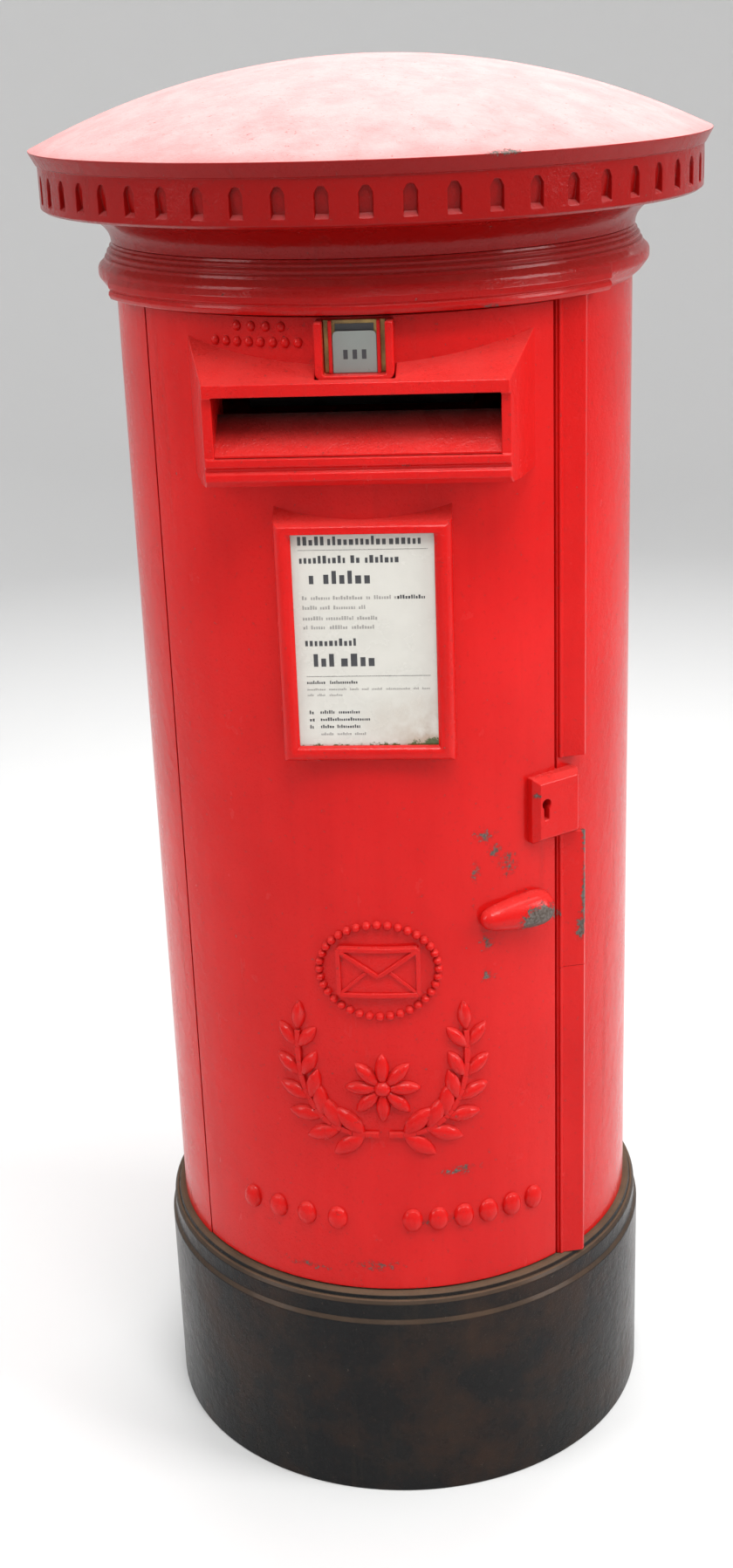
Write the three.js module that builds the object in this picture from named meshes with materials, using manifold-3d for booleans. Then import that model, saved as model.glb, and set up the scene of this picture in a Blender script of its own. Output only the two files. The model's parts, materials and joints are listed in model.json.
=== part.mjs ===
import * as THREE from "three";
import { mergeVertices } from "three/addons/utils/BufferGeometryUtils.js";
import Module from "manifold-3d";

const wasm = await Module();
wasm.setup();

// Cast-iron pillar mailbox. Millimetres, +Z up; the front faces -Y and the origin is the middle of its foot.
// Angles are degrees round the body from the front, positive towards +X.

// Clearances
const seat = 0.3; // between two pieces that bear on each other
const slack = 0.6; // where a piece follows a neighbour's curved face
const pinPlay = 0.3; // round a pin or shank, on the radius
const faceSag = 0.535; // most that a flat side of a turned body falls short of the curve

// Body and plinth
const bodyRadius = 248;
const wall = 12;
const plinthHeight = 241;
const plinthStep = 14.6; // how far the plinth stands out from the body
const plinthWall = 14;
const plinthBand = 28; // height of the raised band at the top of the plinth
const plinthBandProud = 1.4;
const plinthFlange = 12; // thickness of the plinth's inside flange

// Door
const doorHeight = 985;
const doorLeft = -53.1;
const doorRight = 43.5;
const doorFootGap = 2;
const doorHeadGap = 2.5;
const doorRightGap = 0.7; // degrees between the door's right edge and the jamb
const doorLeftGap = 1.6; // between the two arcs of the hinge side
const stopWidth = 9; // lips behind the door's edges
const stopGap = 1;
const stopHeight = 15;
const doorRibWidth = 8;
const doorRibHeight = 12;
const doorRibShares = [0.34, 0.52]; // places of the inside ribs up the door's height

// Hinge
const hingeInset = 28; // from the body's face in to the hinge axis
const hingeAngle = -44;
const pinRadius = 6;
const bushWall = 2.4;
const lugWall = 4.4;
const lugHeight = 28;

// Cornice and cap
const corniceHeight = 45.5;
const corniceProud = 16;
const dripProud = 19;
const dripLeft = -62.3;
const dripRight = 56.8;
const capFlange = 10;
const ringFlange = 14;
const footFlangeThickness = 11;
const flangeWidth = 30;
const coveHeight = 32;
const coveProud = 52;
const fasciaHeight = 39;
const fasciaProud = 65;
const brimHeight = 13;
const brimProud = 73;
const domeRise = 74;
const capWall = 12;

// Closing rib on the carcass beside the door, and the length of it that is a separate piece
const ribLeft = 44.6;
const ribRight = 50.3;
const ribLeftProud = 2.5;
const ribProud = 14;
const insertHeight = 145;

// Posting aperture, measured down from the head of the door
const slotWidth = 250;
const slotHeight = 54;
const hoodTop = 52; // from the head of the door to the hood's front edge
const hoodLip = 11;
const hoodOut = 27; // how far the hood stands out from the body's front
const hoodSlope = 0.391;
const jambWidth = 8;
const jambOut = 22;
const flare = 12; // how much wider the surround is at the body than at its front
const sillHeight = 26;
const baffleThickness = 4;
const baffleRise = 32;

// Notice frame and plate, measured down from the head of the door
const noticeWidth = 128;
const noticeHeight = 200;
const noticeTop = 188;
const frameWidth = 16;
const frameOut = 9;
const frameLip = 4;
const rebate = 5;
const plateThickness = 2.5;
const trayThickness = 2;
const trayWall = 4;

// Tablet holder under the drip moulding
const tabletWidth = 38;
const tabletHeight = 35.5;
const tabletThickness = 2.5;
const tabletLift = 12;
const bracketWidth = 68;
const bracketArm = 7;
const bracketOut = 20;
const bracketHeight = 50;
const bracketDrop = 2; // from the head of the door to the top of the bracket

// Lock, measured up from the foot of the door
const lockAngle = 38.5;
const keyHeight = 523;
const blockWidth = 53;
const blockHeight = 64;
const blockBevel = 5;
const blockOut = 14;
const blockShift = 12.5; // from the keyhole to the middle of the block
const blockDrop = 7;
const keyholeRadius = 5;
const caseWidth = 66;
const caseHeight = 80;
const caseDepth = 22;
const caseWall = 3;
const caseEdge = 18; // from the keyhole to the case's right side
const boltTravel = 16;
const boltHeight = 12;
const boltDepth = 9;
const throwerArm = 11;

// Pull
const pullAngle = 33;
const pullHeight = 409; // from the foot of the door
const pullLength = 80;
const pullRadius = 18;

// Letter cage and its gate
const cageRadius = 160;
const cageHeight = 456;
const cageRod = 3;
const hoopWidth = 8;
const hoopThickness = 4;
const gateHalf = 50;
const gateLift = 300;
const floorThickness = 3;
const floorRest = 22; // how far the mail floor reaches over the plinth's inside flange

// Fasteners
const flangeBoltRadius = 6;
const flangeBoltHead = 10;
const bracketBoltRadius = 4;
const screwRadius = 2.5;
const screwHead = 4.6;
const screwHeadHeight = 3;

// Heights and radii that follow from the sizes above
const innerRadius = bodyRadius - wall;
const plinthRadius = bodyRadius + plinthStep;
const carcassFoot = plinthHeight + seat;
const doorFoot = plinthHeight + doorFootGap;
const doorHead = doorFoot + doorHeight;
const ringFoot = doorHead + doorHeadGap;
const ringHead = ringFoot + corniceHeight;
const capFoot = ringHead + seat;
const fasciaFoot = capFoot + coveHeight;
const brimFoot = fasciaFoot + fasciaHeight;
const rimHeight = brimFoot + brimHeight;
const crown = rimHeight + domeRise;
const jamb = doorRight + doorRightGap;
const keyZ = doorFoot + keyHeight;
const hingeRadius = bodyRadius - hingeInset;
const hinge = polar(hingeRadius, hingeAngle);
const edge = polar(bodyRadius, doorLeft);
// Flat sides of a turned body, in fours, so that each stays within the sag of the true curve
const bodySides = 4 * Math.ceil(Math.PI / Math.acos(1 - faceSag / bodyRadius) / 4);
const edgeSwing = Math.hypot(edge.x - hinge.x, edge.y - hinge.y);
const jambSwing = edgeSwing + doorLeftGap;
const stopOuter = innerRadius - stopGap;
const stopInner = stopOuter - stopWidth;
const stopLeft = hingeAngle + 13;
const faceLimit = bodyRadius + slack; // pieces seated on the body's outer face stop here
const innerLimit = innerRadius - slack; // and those on its inner face stop here

const paint = new THREE.MeshStandardMaterial({ color: 0xc81c18, roughness: 0.32, metalness: 0 });
const blackPaint = new THREE.MeshStandardMaterial({ color: 0x17181a, roughness: 0.38, metalness: 0 });
const steel = new THREE.MeshStandardMaterial({ color: 0x8c9094, roughness: 0.42, metalness: 1 });
const zinc = new THREE.MeshStandardMaterial({ color: 0x9aa0a2, roughness: 0.5, metalness: 1 });
const brass = new THREE.MeshStandardMaterial({ color: 0x9a7a3c, roughness: 0.45, metalness: 1 });
const enamel = new THREE.MeshStandardMaterial({ color: 0xe4e2d6, roughness: 0.25, metalness: 0 });
const tabletEnamel = new THREE.MeshStandardMaterial({ color: 0xaeb5ae, roughness: 0.3, metalness: 0 });

function polar(radius, angle) {
  const turn = THREE.MathUtils.degToRad(angle);
  return new THREE.Vector2(radius * Math.sin(turn), -radius * Math.cos(turn));
}

// Shape angle of a point seen from the middle of an arc
function bearing(from, to) {
  return Math.atan2(to.y - from.y, to.x - from.x);
}

// Angle either side of the hinge at which a circle round the hinge axis meets a circle round the body's axis
function swingAngle(radius, swing) {
  const cosine = (radius ** 2 + hingeRadius ** 2 - swing ** 2) / (2 * radius * hingeRadius);
  return THREE.MathUtils.radToDeg(Math.acos(cosine));
}

function solid(geometry) {
  const plain = geometry.clone();
  plain.deleteAttribute("normal");
  plain.deleteAttribute("uv");
  const merged = mergeVertices(plain, 1e-4);
  return new wasm.Manifold(
    new wasm.Mesh({
      numProp: 3,
      vertProperties: new Float32Array(merged.attributes.position.array),
      triVerts: new Uint32Array(merged.index.array),
    }),
  );
}

function geometryOf(body) {
  const { numProp, vertProperties, triVerts } = body.getMesh();
  const geometry = new THREE.BufferGeometry();
  const positions = new Float32Array((vertProperties.length / numProp) * 3);
  for (let i = 0; i * numProp < vertProperties.length; i++) {
    positions.set(vertProperties.subarray(i * numProp, i * numProp + 3), i * 3);
  }
  geometry.setAttribute("position", new THREE.BufferAttribute(positions, 3));
  geometry.setIndex(new THREE.BufferAttribute(triVerts, 1));
  geometry.computeVertexNormals();
  return geometry;
}

function joined(first, ...others) {
  return others.reduce((sum, other) => sum.add(other), first);
}

function cutFrom(body, ...cutters) {
  return cutters.reduce((rest, cutter) => rest.subtract(cutter), body);
}

// Turned solid about +Z; the profile lists [radius, height] and runs anticlockwise seen with +Z up
function turned(profile, steps = bodySides) {
  const points = profile.map(([radius, height]) => new THREE.Vector2(radius, height));
  if (profile[0][0] > 0) {
    points.push(points[0].clone());
  }
  return solid(new THREE.LatheGeometry(points, steps).rotateX(Math.PI / 2));
}

function extruded(shape, bottom, top, curveSegments = 12) {
  const options = { depth: top - bottom, bevelEnabled: false, curveSegments };
  return solid(new THREE.ExtrudeGeometry(shape, options).translate(0, 0, bottom));
}

// Extrusion along X of an outline given as [y, z] points
function extrudedAcross(outline, halfWidth) {
  const shape = new THREE.Shape(outline.map(([y, z]) => new THREE.Vector2(y, z)));
  const geometry = new THREE.ExtrudeGeometry(shape, { depth: 2 * halfWidth, bevelEnabled: false });
  geometry.translate(0, 0, -halfWidth);
  const axes = new THREE.Matrix4().makeBasis(
    new THREE.Vector3(0, 1, 0),
    new THREE.Vector3(0, 0, 1),
    new THREE.Vector3(1, 0, 0),
  );
  return solid(geometry.applyMatrix4(axes));
}

function outlined(points, bottom, top) {
  return extruded(new THREE.Shape(points.map(([x, y]) => new THREE.Vector2(x, y))), bottom, top);
}

const arcStep = 7; // degrees between the corners of a curved face
const leftAndRight = [-1, 1];

// Curved band round the body's axis; an arc is divided into twice its curve segments
function band(inner, outer, from, to, bottom, top) {
  const start = THREE.MathUtils.degToRad(from - 90);
  const end = THREE.MathUtils.degToRad(to - 90);
  const shape = new THREE.Shape();
  shape.absarc(0, 0, outer, start, end, false);
  shape.absarc(0, 0, inner, end, start, true);
  return extruded(shape, bottom, top, Math.max(1, Math.round((to - from) / arcStep / 2)));
}

function block(x0, x1, y0, y1, z0, z1) {
  const geometry = new THREE.BoxGeometry(x1 - x0, y1 - y0, z1 - z0);
  return solid(geometry.translate((x0 + x1) / 2, (y0 + y1) / 2, (z0 + z1) / 2));
}

function upright(radius, x, y, bottom, top, sides = 16) {
  const geometry = new THREE.CylinderGeometry(radius, radius, top - bottom, sides).rotateX(Math.PI / 2);
  return solid(geometry.translate(x, y, (bottom + top) / 2));
}

// Round bar along Y, from y0 to y1
function crosswise(radius, x, z, y0, y1, sides = 12) {
  const geometry = new THREE.CylinderGeometry(radius, radius, y1 - y0, sides);
  return solid(geometry.translate(x, (y0 + y1) / 2, z));
}

// Turns a piece drawn at the front of the body to its place round it
function round(body, angle) {
  return body.rotate([0, 0, angle]);
}

const drum = upright(faceLimit, 0, 0, -10, crown, 72);
const core = upright(innerLimit, 0, 0, -10, crown, 72);

function hexBolt(radius, headRadius, headHeight, foot, length) {
  const head = solid(new THREE.CylinderGeometry(headRadius, headRadius, headHeight, 6).rotateX(Math.PI / 2));
  const shank = upright(radius, 0, 0, 0, length, 8);
  return joined(head.translate([0, 0, -headHeight / 2]), shank).translate([0, 0, foot]);
}

// Pan-head screw along Y: its head is at y, towards the middle of the box, and its shank runs outwards
function screw(x, z, y, length) {
  const shank = crosswise(screwRadius, x, z, y - length, y + 0.5, 8);
  const head = crosswise(screwHead, x, z, y, y + screwHeadHeight, 8);
  return joined(shank, head);
}

function screwHole(x, z, y, length) {
  return crosswise(screwRadius + pinPlay, x, z, y - length - 1, y + 30, 8);
}

// ---------- Plinth, carcass and cap

const flangeBoltCircle = innerRadius - flangeWidth / 2;
const capBoltAngles = [20, 110, 200, 290];
const plinthBoltAngles = [80, 140, 220, 280];
const cageFloorRadius = cageRadius + 12;
const plinthBore = cageFloorRadius - floorRest;

function boltHoles(angles, bottom, top) {
  return angles.map((angle) => {
    const at = polar(flangeBoltCircle, angle);
    return upright(flangeBoltRadius + pinPlay, at.x, at.y, bottom, top, 8);
  });
}

function plinthRing() {
  const inside = plinthRadius - plinthWall;
  const bandRadius = plinthRadius + plinthBandProud;
  const ring = turned([
    [inside, 0],
    [plinthRadius, 0],
    [plinthRadius, plinthHeight - plinthBand],
    [bandRadius, plinthHeight - plinthBand + 2],
    [bandRadius, plinthHeight - 6],
    [bandRadius - 2, plinthHeight - 2],
    [bandRadius - 6, plinthHeight],
    [plinthBore, plinthHeight],
    [plinthBore, plinthHeight - plinthFlange],
    [inside, plinthHeight - plinthFlange],
  ]);
  const sill = band(stopInner, stopOuter, stopLeft, doorRight, plinthHeight - 1, plinthHeight + stopHeight);
  const holes = boltHoles(plinthBoltAngles, plinthHeight - 20, plinthHeight + 1);
  const pinHole = upright(pinRadius + pinPlay, hinge.x, hinge.y, plinthHeight - 20, plinthHeight + 1, 12);
  return cutFrom(joined(ring, sill), ...holes, pinHole);
}

// Wall of the carcass from the lock jamb round the back to the hinge jamb, which is an arc about the hinge
function carcassWall() {
  const shape = new THREE.Shape();
  const outerEnd = 360 + hingeAngle - swingAngle(bodyRadius, jambSwing);
  const innerEnd = 360 + hingeAngle - swingAngle(innerRadius, jambSwing);
  const radians = (angle) => THREE.MathUtils.degToRad(angle - 90);
  shape.absarc(0, 0, bodyRadius, radians(jamb), radians(outerEnd), false);
  shape.absarc(
    hinge.x,
    hinge.y,
    jambSwing,
    bearing(hinge, polar(bodyRadius, outerEnd)),
    bearing(hinge, polar(innerRadius, innerEnd)),
    true,
  );
  shape.absarc(0, 0, innerRadius, radians(innerEnd), radians(jamb), true);
  return extruded(shape, carcassFoot, ringFoot + 1, 19);
}

function corniceRing() {
  const out = bodyRadius + corniceProud;
  return turned([
    [innerRadius, ringFoot],
    [bodyRadius, ringFoot],
    [out, ringFoot + 18],
    [out, ringFoot + 24],
    [bodyRadius + 8, ringFoot + 31],
    [bodyRadius + 1, ringFoot + 43],
    [bodyRadius + 1, ringHead],
    [innerRadius - flangeWidth, ringHead],
    [innerRadius - flangeWidth, ringHead - ringFlange],
    [innerRadius, ringHead - ringFlange],
  ]);
}

function dripMoulding() {
  const out = bodyRadius + dripProud;
  const ring = turned([
    [bodyRadius - 4, ringFoot + 0.5],
    [out, ringFoot + 0.5],
    [out, ringFoot + 16],
    [bodyRadius + corniceProud - 4, ringFoot + 27],
    [bodyRadius - 4, ringFoot + 27],
  ]);
  return ring.intersect(band(10, out + 20, dripLeft, dripRight, ringFoot, ringFoot + 30));
}

function ribLength(bottom, top) {
  const points = [
    polar(bodyRadius - 4, ribLeft),
    polar(bodyRadius + ribLeftProud, ribLeft),
    polar(bodyRadius + ribLeftProud, ribLeft + 0.7),
    polar(bodyRadius + ribProud, ribRight - 0.6),
    polar(bodyRadius + ribProud - 1, ribRight),
    polar(bodyRadius - 4, ribRight + 0.8),
  ];
  return outlined(points.map((point) => [point.x, point.y]), bottom, top);
}

const blockZ = keyZ - blockDrop;
const blockBase = blockHeight / 2 + blockBevel;
const notchFoot = blockZ - blockBase - 2;
const notchHead = blockZ + blockBase + 2;
const insertFoot = notchFoot - insertHeight;

function lockNotch() {
  const right = blockShift + blockWidth / 2 + blockBevel + 1.5;
  return round(block(10, right, -bodyRadius - 40, -bodyRadius + 4, notchFoot, notchHead), lockAngle)
    .subtract(upright(bodyRadius, 0, 0, notchFoot - 1, notchHead + 1, 72));
}

function ribInsert() {
  return ribLength(insertFoot + seat, notchFoot - seat).subtract(drum);
}

function carcass() {
  const rib = ribLength(carcassFoot, ringFoot + 1).subtract(lockNotch());
  const insertGap = ribLength(insertFoot, notchFoot + 1).subtract(upright(bodyRadius, 0, 0, 0, crown, 72));
  const footFlange = band(
    innerRadius - flangeWidth, innerRadius + 2,
    jamb + 6, 360 + hingeAngle - 26,
    carcassFoot, carcassFoot + footFlangeThickness,
  );
  const sideStop = joined(
    band(stopInner, innerRadius + 2, jamb + 0.4, jamb + 3, carcassFoot, ringFoot + 2),
    band(stopInner, stopOuter, jamb - 3.5, jamb + 0.6, plinthHeight + stopHeight + 1, ringFoot + 2),
  );
  const lockGap = round(
    block(-20, 60, -innerRadius + 0.2, -stopInner + 20, keyZ - caseHeight, keyZ + caseHeight), lockAngle,
  );
  const body = joined(
    carcassWall(),
    corniceRing(),
    dripMoulding(),
    rib.subtract(insertGap),
    footFlange,
    sideStop.subtract(lockGap),
  );
  return cutFrom(
    body,
    ...boltHoles(capBoltAngles, ringHead - 30, ringHead + 1),
    ...boltHoles(plinthBoltAngles, carcassFoot - 1, carcassFoot + 20),
    ...bracketBoltHoles(ringHead - 30, ringHead - 3),
    ...keeperScrewPlaces.map(([x, z]) => round(screwHole(x, z, keeperFace, 14), lockAngle)),
  );
}

// Curved strip behind the door's head, seated against the inside of the cornice ring
function headStop() {
  const right = jamb - 3.7;
  return joined(
    band(stopInner, innerLimit, stopLeft, right, ringFoot + seat, ringFoot + 10),
    band(stopInner, stopOuter, stopLeft, right, doorHead - stopHeight, ringFoot + 2),
  );
}

// Roof casting: shallow dome, brim, fascia and cove over an inside flange
function cap() {
  const rim = bodyRadius + brimProud;
  const domeRadius = (rim ** 2 + domeRise ** 2) / (2 * domeRise);
  const domeSteps = 5;
  const outer = [];
  for (let i = 0; i <= domeSteps; i++) {
    const radius = rim * (1 - i / domeSteps);
    const height = crown - domeRadius + Math.sqrt(domeRadius ** 2 - radius ** 2);
    outer.push([radius, height]);
  }
  const inner = outer
    .slice(1)
    .map(([radius, height]) => [radius, height - capWall])
    .reverse();
  const coveSteps = 3;
  const cove = [];
  for (let i = 0; i <= coveSteps; i++) {
    const turn = ((i / coveSteps) * Math.PI) / 2;
    const radius = bodyRadius + coveProud - (coveProud - 2) * Math.cos(turn);
    cove.push([radius, capFoot + (coveHeight - 2) * Math.sin(turn)]);
  }
  const profile = [
    ...inner,
    [bodyRadius + coveProud - capWall, brimFoot - capWall],
    [bodyRadius + coveProud - capWall, fasciaFoot + 6],
    [innerRadius, capFoot + capFlange + 2],
    [innerRadius - flangeWidth, capFoot + capFlange],
    [innerRadius - flangeWidth, capFoot],
    ...cove,
    [bodyRadius + fasciaProud - 3, fasciaFoot],
    [bodyRadius + fasciaProud, fasciaFoot + 3],
    [bodyRadius + fasciaProud, brimFoot],
    ...outer,
  ];
  return cutFrom(turned(profile), ...boltHoles(capBoltAngles, capFoot - 1, capFoot + 20));
}

const flangeBoltHeadHeight = 8;
const capBoltFoot = ringHead - ringFlange - seat;
const plinthBoltTop = carcassFoot + footFlangeThickness + seat;

function capBolt(angle) {
  const at = polar(flangeBoltCircle, angle);
  const bolt = hexBolt(flangeBoltRadius, flangeBoltHead, flangeBoltHeadHeight, 0, capFlange * 2 + 1);
  return bolt.translate([at.x, at.y, capBoltFoot]);
}

function plinthBolt(angle) {
  const at = polar(flangeBoltCircle, angle);
  const bolt = hexBolt(flangeBoltRadius, flangeBoltHead, flangeBoltHeadHeight, 0, plinthFlange + 9);
  return bolt.rotate([180, 0, 0]).translate([at.x, at.y, plinthBoltTop]);
}

function mailFloor() {
  const bottom = plinthHeight + seat;
  return upright(cageFloorRadius, 0, 0, bottom, bottom + floorThickness, 36);
}

// ---------- Hinge

const lugRadius = pinRadius + pinPlay * 2 + bushWall + lugWall;
const bracketFoot = ringFoot + 8;
const bracketHead = ringHead - ringFlange - seat;
const upperLugHead = doorHead - 4;
const lowerLugFoot = plinthHeight + 4.6;
const bracketBoltPlaces = [-7.5, 7.5].map((turn) => polar(flangeBoltCircle, hingeAngle + turn));

function hingeLug(bottom) {
  const top = bottom + lugHeight;
  const arm = block(-lugRadius, lugRadius + 8, -innerRadius - 5, -hingeRadius, bottom, top);
  const eye = upright(lugRadius, 0, -hingeRadius, bottom, top);
  const bore = upright(pinRadius + pinPlay * 2 + bushWall, 0, -hingeRadius, bottom - 1, top + 1);
  return round(joined(arm, eye).intersect(core).subtract(bore), hingeAngle);
}

function bracketBoltHoles(bottom, top) {
  return bracketBoltPlaces.map((at) => upright(bracketBoltRadius + pinPlay, at.x, at.y, bottom, top, 8));
}

function hingeBush(bottom) {
  const top = bottom + lugHeight;
  const outside = upright(pinRadius + pinPlay + bushWall, hinge.x, hinge.y, bottom, top);
  return outside.subtract(upright(pinRadius + pinPlay, hinge.x, hinge.y, bottom - 1, top + 1));
}

function upperHingeBracket() {
  const half = 10.5;
  const body = band(
    innerRadius - flangeWidth, innerLimit, hingeAngle - half, hingeAngle + half, bracketFoot, bracketHead,
  );
  const pinHole = upright(pinRadius + pinPlay, hinge.x, hinge.y, bracketFoot - 1, bracketHead + 1, 12);
  return cutFrom(body, pinHole, ...bracketBoltHoles(bracketFoot - 1, bracketHead + 1));
}

function bracketBolt(at) {
  return hexBolt(bracketBoltRadius, 7, 5, 0, bracketHead - bracketFoot + 9)
    .translate([at.x, at.y, bracketFoot - seat]);
}

function upperHingePin() {
  return upright(pinRadius, hinge.x, hinge.y, upperLugHead - lugHeight + 2, bracketHead - 0.2);
}

function lowerHingePin() {
  return upright(pinRadius, hinge.x, hinge.y, plinthHeight - plinthFlange + 1, lowerLugFoot + lugHeight - 2);
}

function thrustWasher() {
  const bottom = plinthHeight + seat;
  const top = lowerLugFoot - seat;
  const disc = upright(lugRadius - 1, hinge.x, hinge.y, bottom, top);
  return disc.subtract(upright(pinRadius + pinPlay, hinge.x, hinge.y, bottom - 1, top + 1));
}

// ---------- Door and what it carries outside

const hoodZ = doorHead - hoodTop; // front edge of the hood
const slotTop = hoodZ - hoodLip;
const slotFoot = slotTop - slotHeight;
const hoodFront = -bodyRadius - hoodOut;
const jambFront = -bodyRadius - jambOut;
const surroundHalf = slotWidth / 2 + jambWidth;
const noticeHead = doorHead - noticeTop;
const noticeFoot = noticeHead - noticeHeight;
const noticeFront = -bodyRadius - frameOut;
const noticeHoleHalf = noticeWidth / 2 + rebate;
const pullZ = doorFoot + pullHeight;
const pullScrewPlaces = [[-14, pullZ], [16, pullZ]];
const deflectorScrewAngles = [-20, 20];
const deflectorScrewZ = doorHead - 33;

function doorOpeningFor(halfWidth, bottom, top) {
  return block(-halfWidth, halfWidth, -bodyRadius - 30, -innerRadius + 100, bottom, top);
}

function keyhole(from, to) {
  return joined(
    crosswise(keyholeRadius, 0, keyZ, from, to),
    block(-3, 3, from, to, keyZ - 16, keyZ),
  );
}

function door() {
  const radians = (angle) => THREE.MathUtils.degToRad(angle - 90);
  const innerLeft = hingeAngle - swingAngle(innerRadius, edgeSwing);
  const shape = new THREE.Shape();
  shape.absarc(0, 0, bodyRadius, radians(doorLeft), radians(doorRight), false);
  shape.absarc(0, 0, innerRadius, radians(doorRight), radians(innerLeft), true);
  shape.absarc(
    hinge.x,
    hinge.y,
    edgeSwing,
    bearing(hinge, polar(innerRadius, innerLeft)),
    bearing(hinge, edge),
    false,
  );
  const shell = extruded(shape, doorFoot, doorHead, 7);
  const ribs = doorRibShares.map((share) => {
    const z = doorFoot + doorHeight * share;
    return band(innerRadius - doorRibWidth, innerRadius + 2, stopLeft, lockAngle - 15, z, z + doorRibHeight);
  });
  return cutFrom(
    joined(shell, ...ribs),
    doorOpeningFor(slotWidth / 2 + 1, slotFoot - 2, slotTop + 4),
    doorOpeningFor(noticeHoleHalf, noticeFoot - rebate, noticeHead + rebate),
    round(keyhole(-bodyRadius - 20, -innerRadius + 20), lockAngle),
    ...lockScrewPlaces.map(([x, z]) => round(screwHole(x, z, -caseFace + caseWall, 14), lockAngle)),
    ...pullScrewPlaces.map(([x, z]) => round(screwHole(x, z, -innerRadius, 40), pullAngle)),
    ...deflectorScrewHoles(),
    ...leftAndRight.map((side) => screwHole(side * buttonX, buttonZ, buttonFace, 12)),
  );
}

// Hood, jambs and sill round the slot, seated on the door's face
function apertureSurround() {
  const reach = -bodyRadius + 60; // far enough back to meet the door's face at the ends of the surround
  const flared = (half, front) => [
    [-half - flare, reach],
    [-half, front],
    [half, front],
    [half + flare, reach],
  ];
  const hood = extrudedAcross(
    [
      [hoodFront, slotTop],
      [hoodFront, hoodZ],
      [reach, hoodZ + (reach - hoodFront) * hoodSlope],
      [reach, slotTop],
    ],
    surroundHalf + flare + 10,
  ).intersect(outlined(flared(surroundHalf + 5, hoodFront), slotTop - 1, doorHead + 20));
  const sill = extrudedAcross(
    [
      [reach, slotFoot],
      [jambFront - 2, slotFoot],
      [jambFront - 2, slotFoot - 7],
      [jambFront + 1, slotFoot - 9],
      [jambFront + 1, slotFoot - 12],
      [jambFront - 1, slotFoot - 14],
      [jambFront - 1, slotFoot - 20],
      [jambFront + 6, slotFoot - sillHeight],
      [reach, slotFoot - sillHeight],
    ].reverse(),
    surroundHalf + flare + 10,
  ).intersect(outlined(flared(surroundHalf + 1, jambFront - 3), slotFoot - 40, slotFoot + 1));
  const sides = outlined(flared(surroundHalf, jambFront), slotFoot - 0.5, slotTop + 0.5).subtract(
    block(-slotWidth / 2, slotWidth / 2, jambFront - 10, reach + 10, slotFoot, slotTop),
  );
  const bracketRoom = block(
    -bracketWidth / 2 - slack, bracketWidth / 2 + slack,
    -bodyRadius - bracketOut - slack, 0,
    doorHead - bracketDrop - bracketHeight - slack, doorHead + 50,
  );
  return joined(hood, sill, sides).subtract(drum).subtract(bracketRoom);
}

function bafflePlate() {
  const front = jambFront + 3;
  const rise = baffleRise;
  const foot = slotFoot + seat;
  return extrudedAcross(
    [
      [front, foot],
      [front + rise + baffleThickness, foot + rise],
      [front + rise, foot + rise + 1],
      [front, foot + 2],
    ].reverse(),
    slotWidth / 2 - 1,
  );
}

// Sheet behind the slot that turns letters down and keeps a hand from the mail
function deflectorHood() {
  const foot = slotTop + 8;
  const half = 100;
  const flange = band(innerLimit - 2.5, innerLimit, -26, 26, foot, doorHead - 22);
  const sheet = extrudedAcross(
    [
      [-innerRadius, foot],
      [-innerRadius + 40, foot - 30],
      [-innerRadius + 40, foot - 27],
      [-innerRadius, foot + 3],
    ].reverse(),
    half,
  ).intersect(core);
  return cutFrom(joined(flange, sheet), ...deflectorScrewHoles());
}

function deflectorScrewHoles() {
  return deflectorScrewAngles.map((angle) => round(screwHole(0, deflectorScrewZ, -innerRadius, 6), angle));
}

function deflectorScrew(angle) {
  return round(screw(0, deflectorScrewZ, -innerLimit + 2.5 + slack, 8), angle);
}

function noticeFrame() {
  const half = noticeWidth / 2 + frameWidth;
  const outside = block(
    -half, half, noticeFront, -bodyRadius + 40, noticeFoot - frameWidth, noticeHead + frameWidth,
  );
  const window = block(
    -noticeWidth / 2, noticeWidth / 2, noticeFront - 5, 0, noticeFoot, noticeHead,
  );
  const seatCut = block(
    -noticeHoleHalf, noticeHoleHalf, noticeFront + frameLip, 0, noticeFoot - rebate, noticeHead + rebate,
  );
  return cutFrom(outside, window, seatCut, drum);
}

const plateFront = noticeFront + frameLip + seat;
const plateHalf = noticeHoleHalf - slack;
const trayFront = plateFront + plateThickness + seat;

function noticePlate() {
  return block(
    -plateHalf, plateHalf, plateFront, plateFront + plateThickness,
    noticeFoot - rebate + slack, noticeHead + rebate - slack,
  );
}

const buttonX = noticeHoleHalf + 11;
const buttonZ = (noticeHead + noticeFoot) / 2;
const buttonThickness = 4;
const buttonRadius = 7;
// The buttons turn clear of the door's curved inner face
const buttonFace = -Math.sqrt(innerRadius ** 2 - (buttonX + buttonRadius + 1) ** 2) + 2.4;

// Pan that backs the notice plate; its two side walls reach the turn buttons
function noticeTray() {
  const bottom = noticeFoot - rebate + slack;
  const top = noticeHead + rebate - slack;
  const back = buttonFace - 0.4;
  const sheet = block(-plateHalf, plateHalf, trayFront, trayFront + trayThickness, bottom, top);
  const walls = leftAndRight.map((side) => {
    const outside = side * plateHalf;
    const inside = side * (plateHalf - trayWall);
    return block(Math.min(outside, inside), Math.max(outside, inside), trayFront, back, bottom, top);
  });
  return joined(sheet, ...walls);
}

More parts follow.
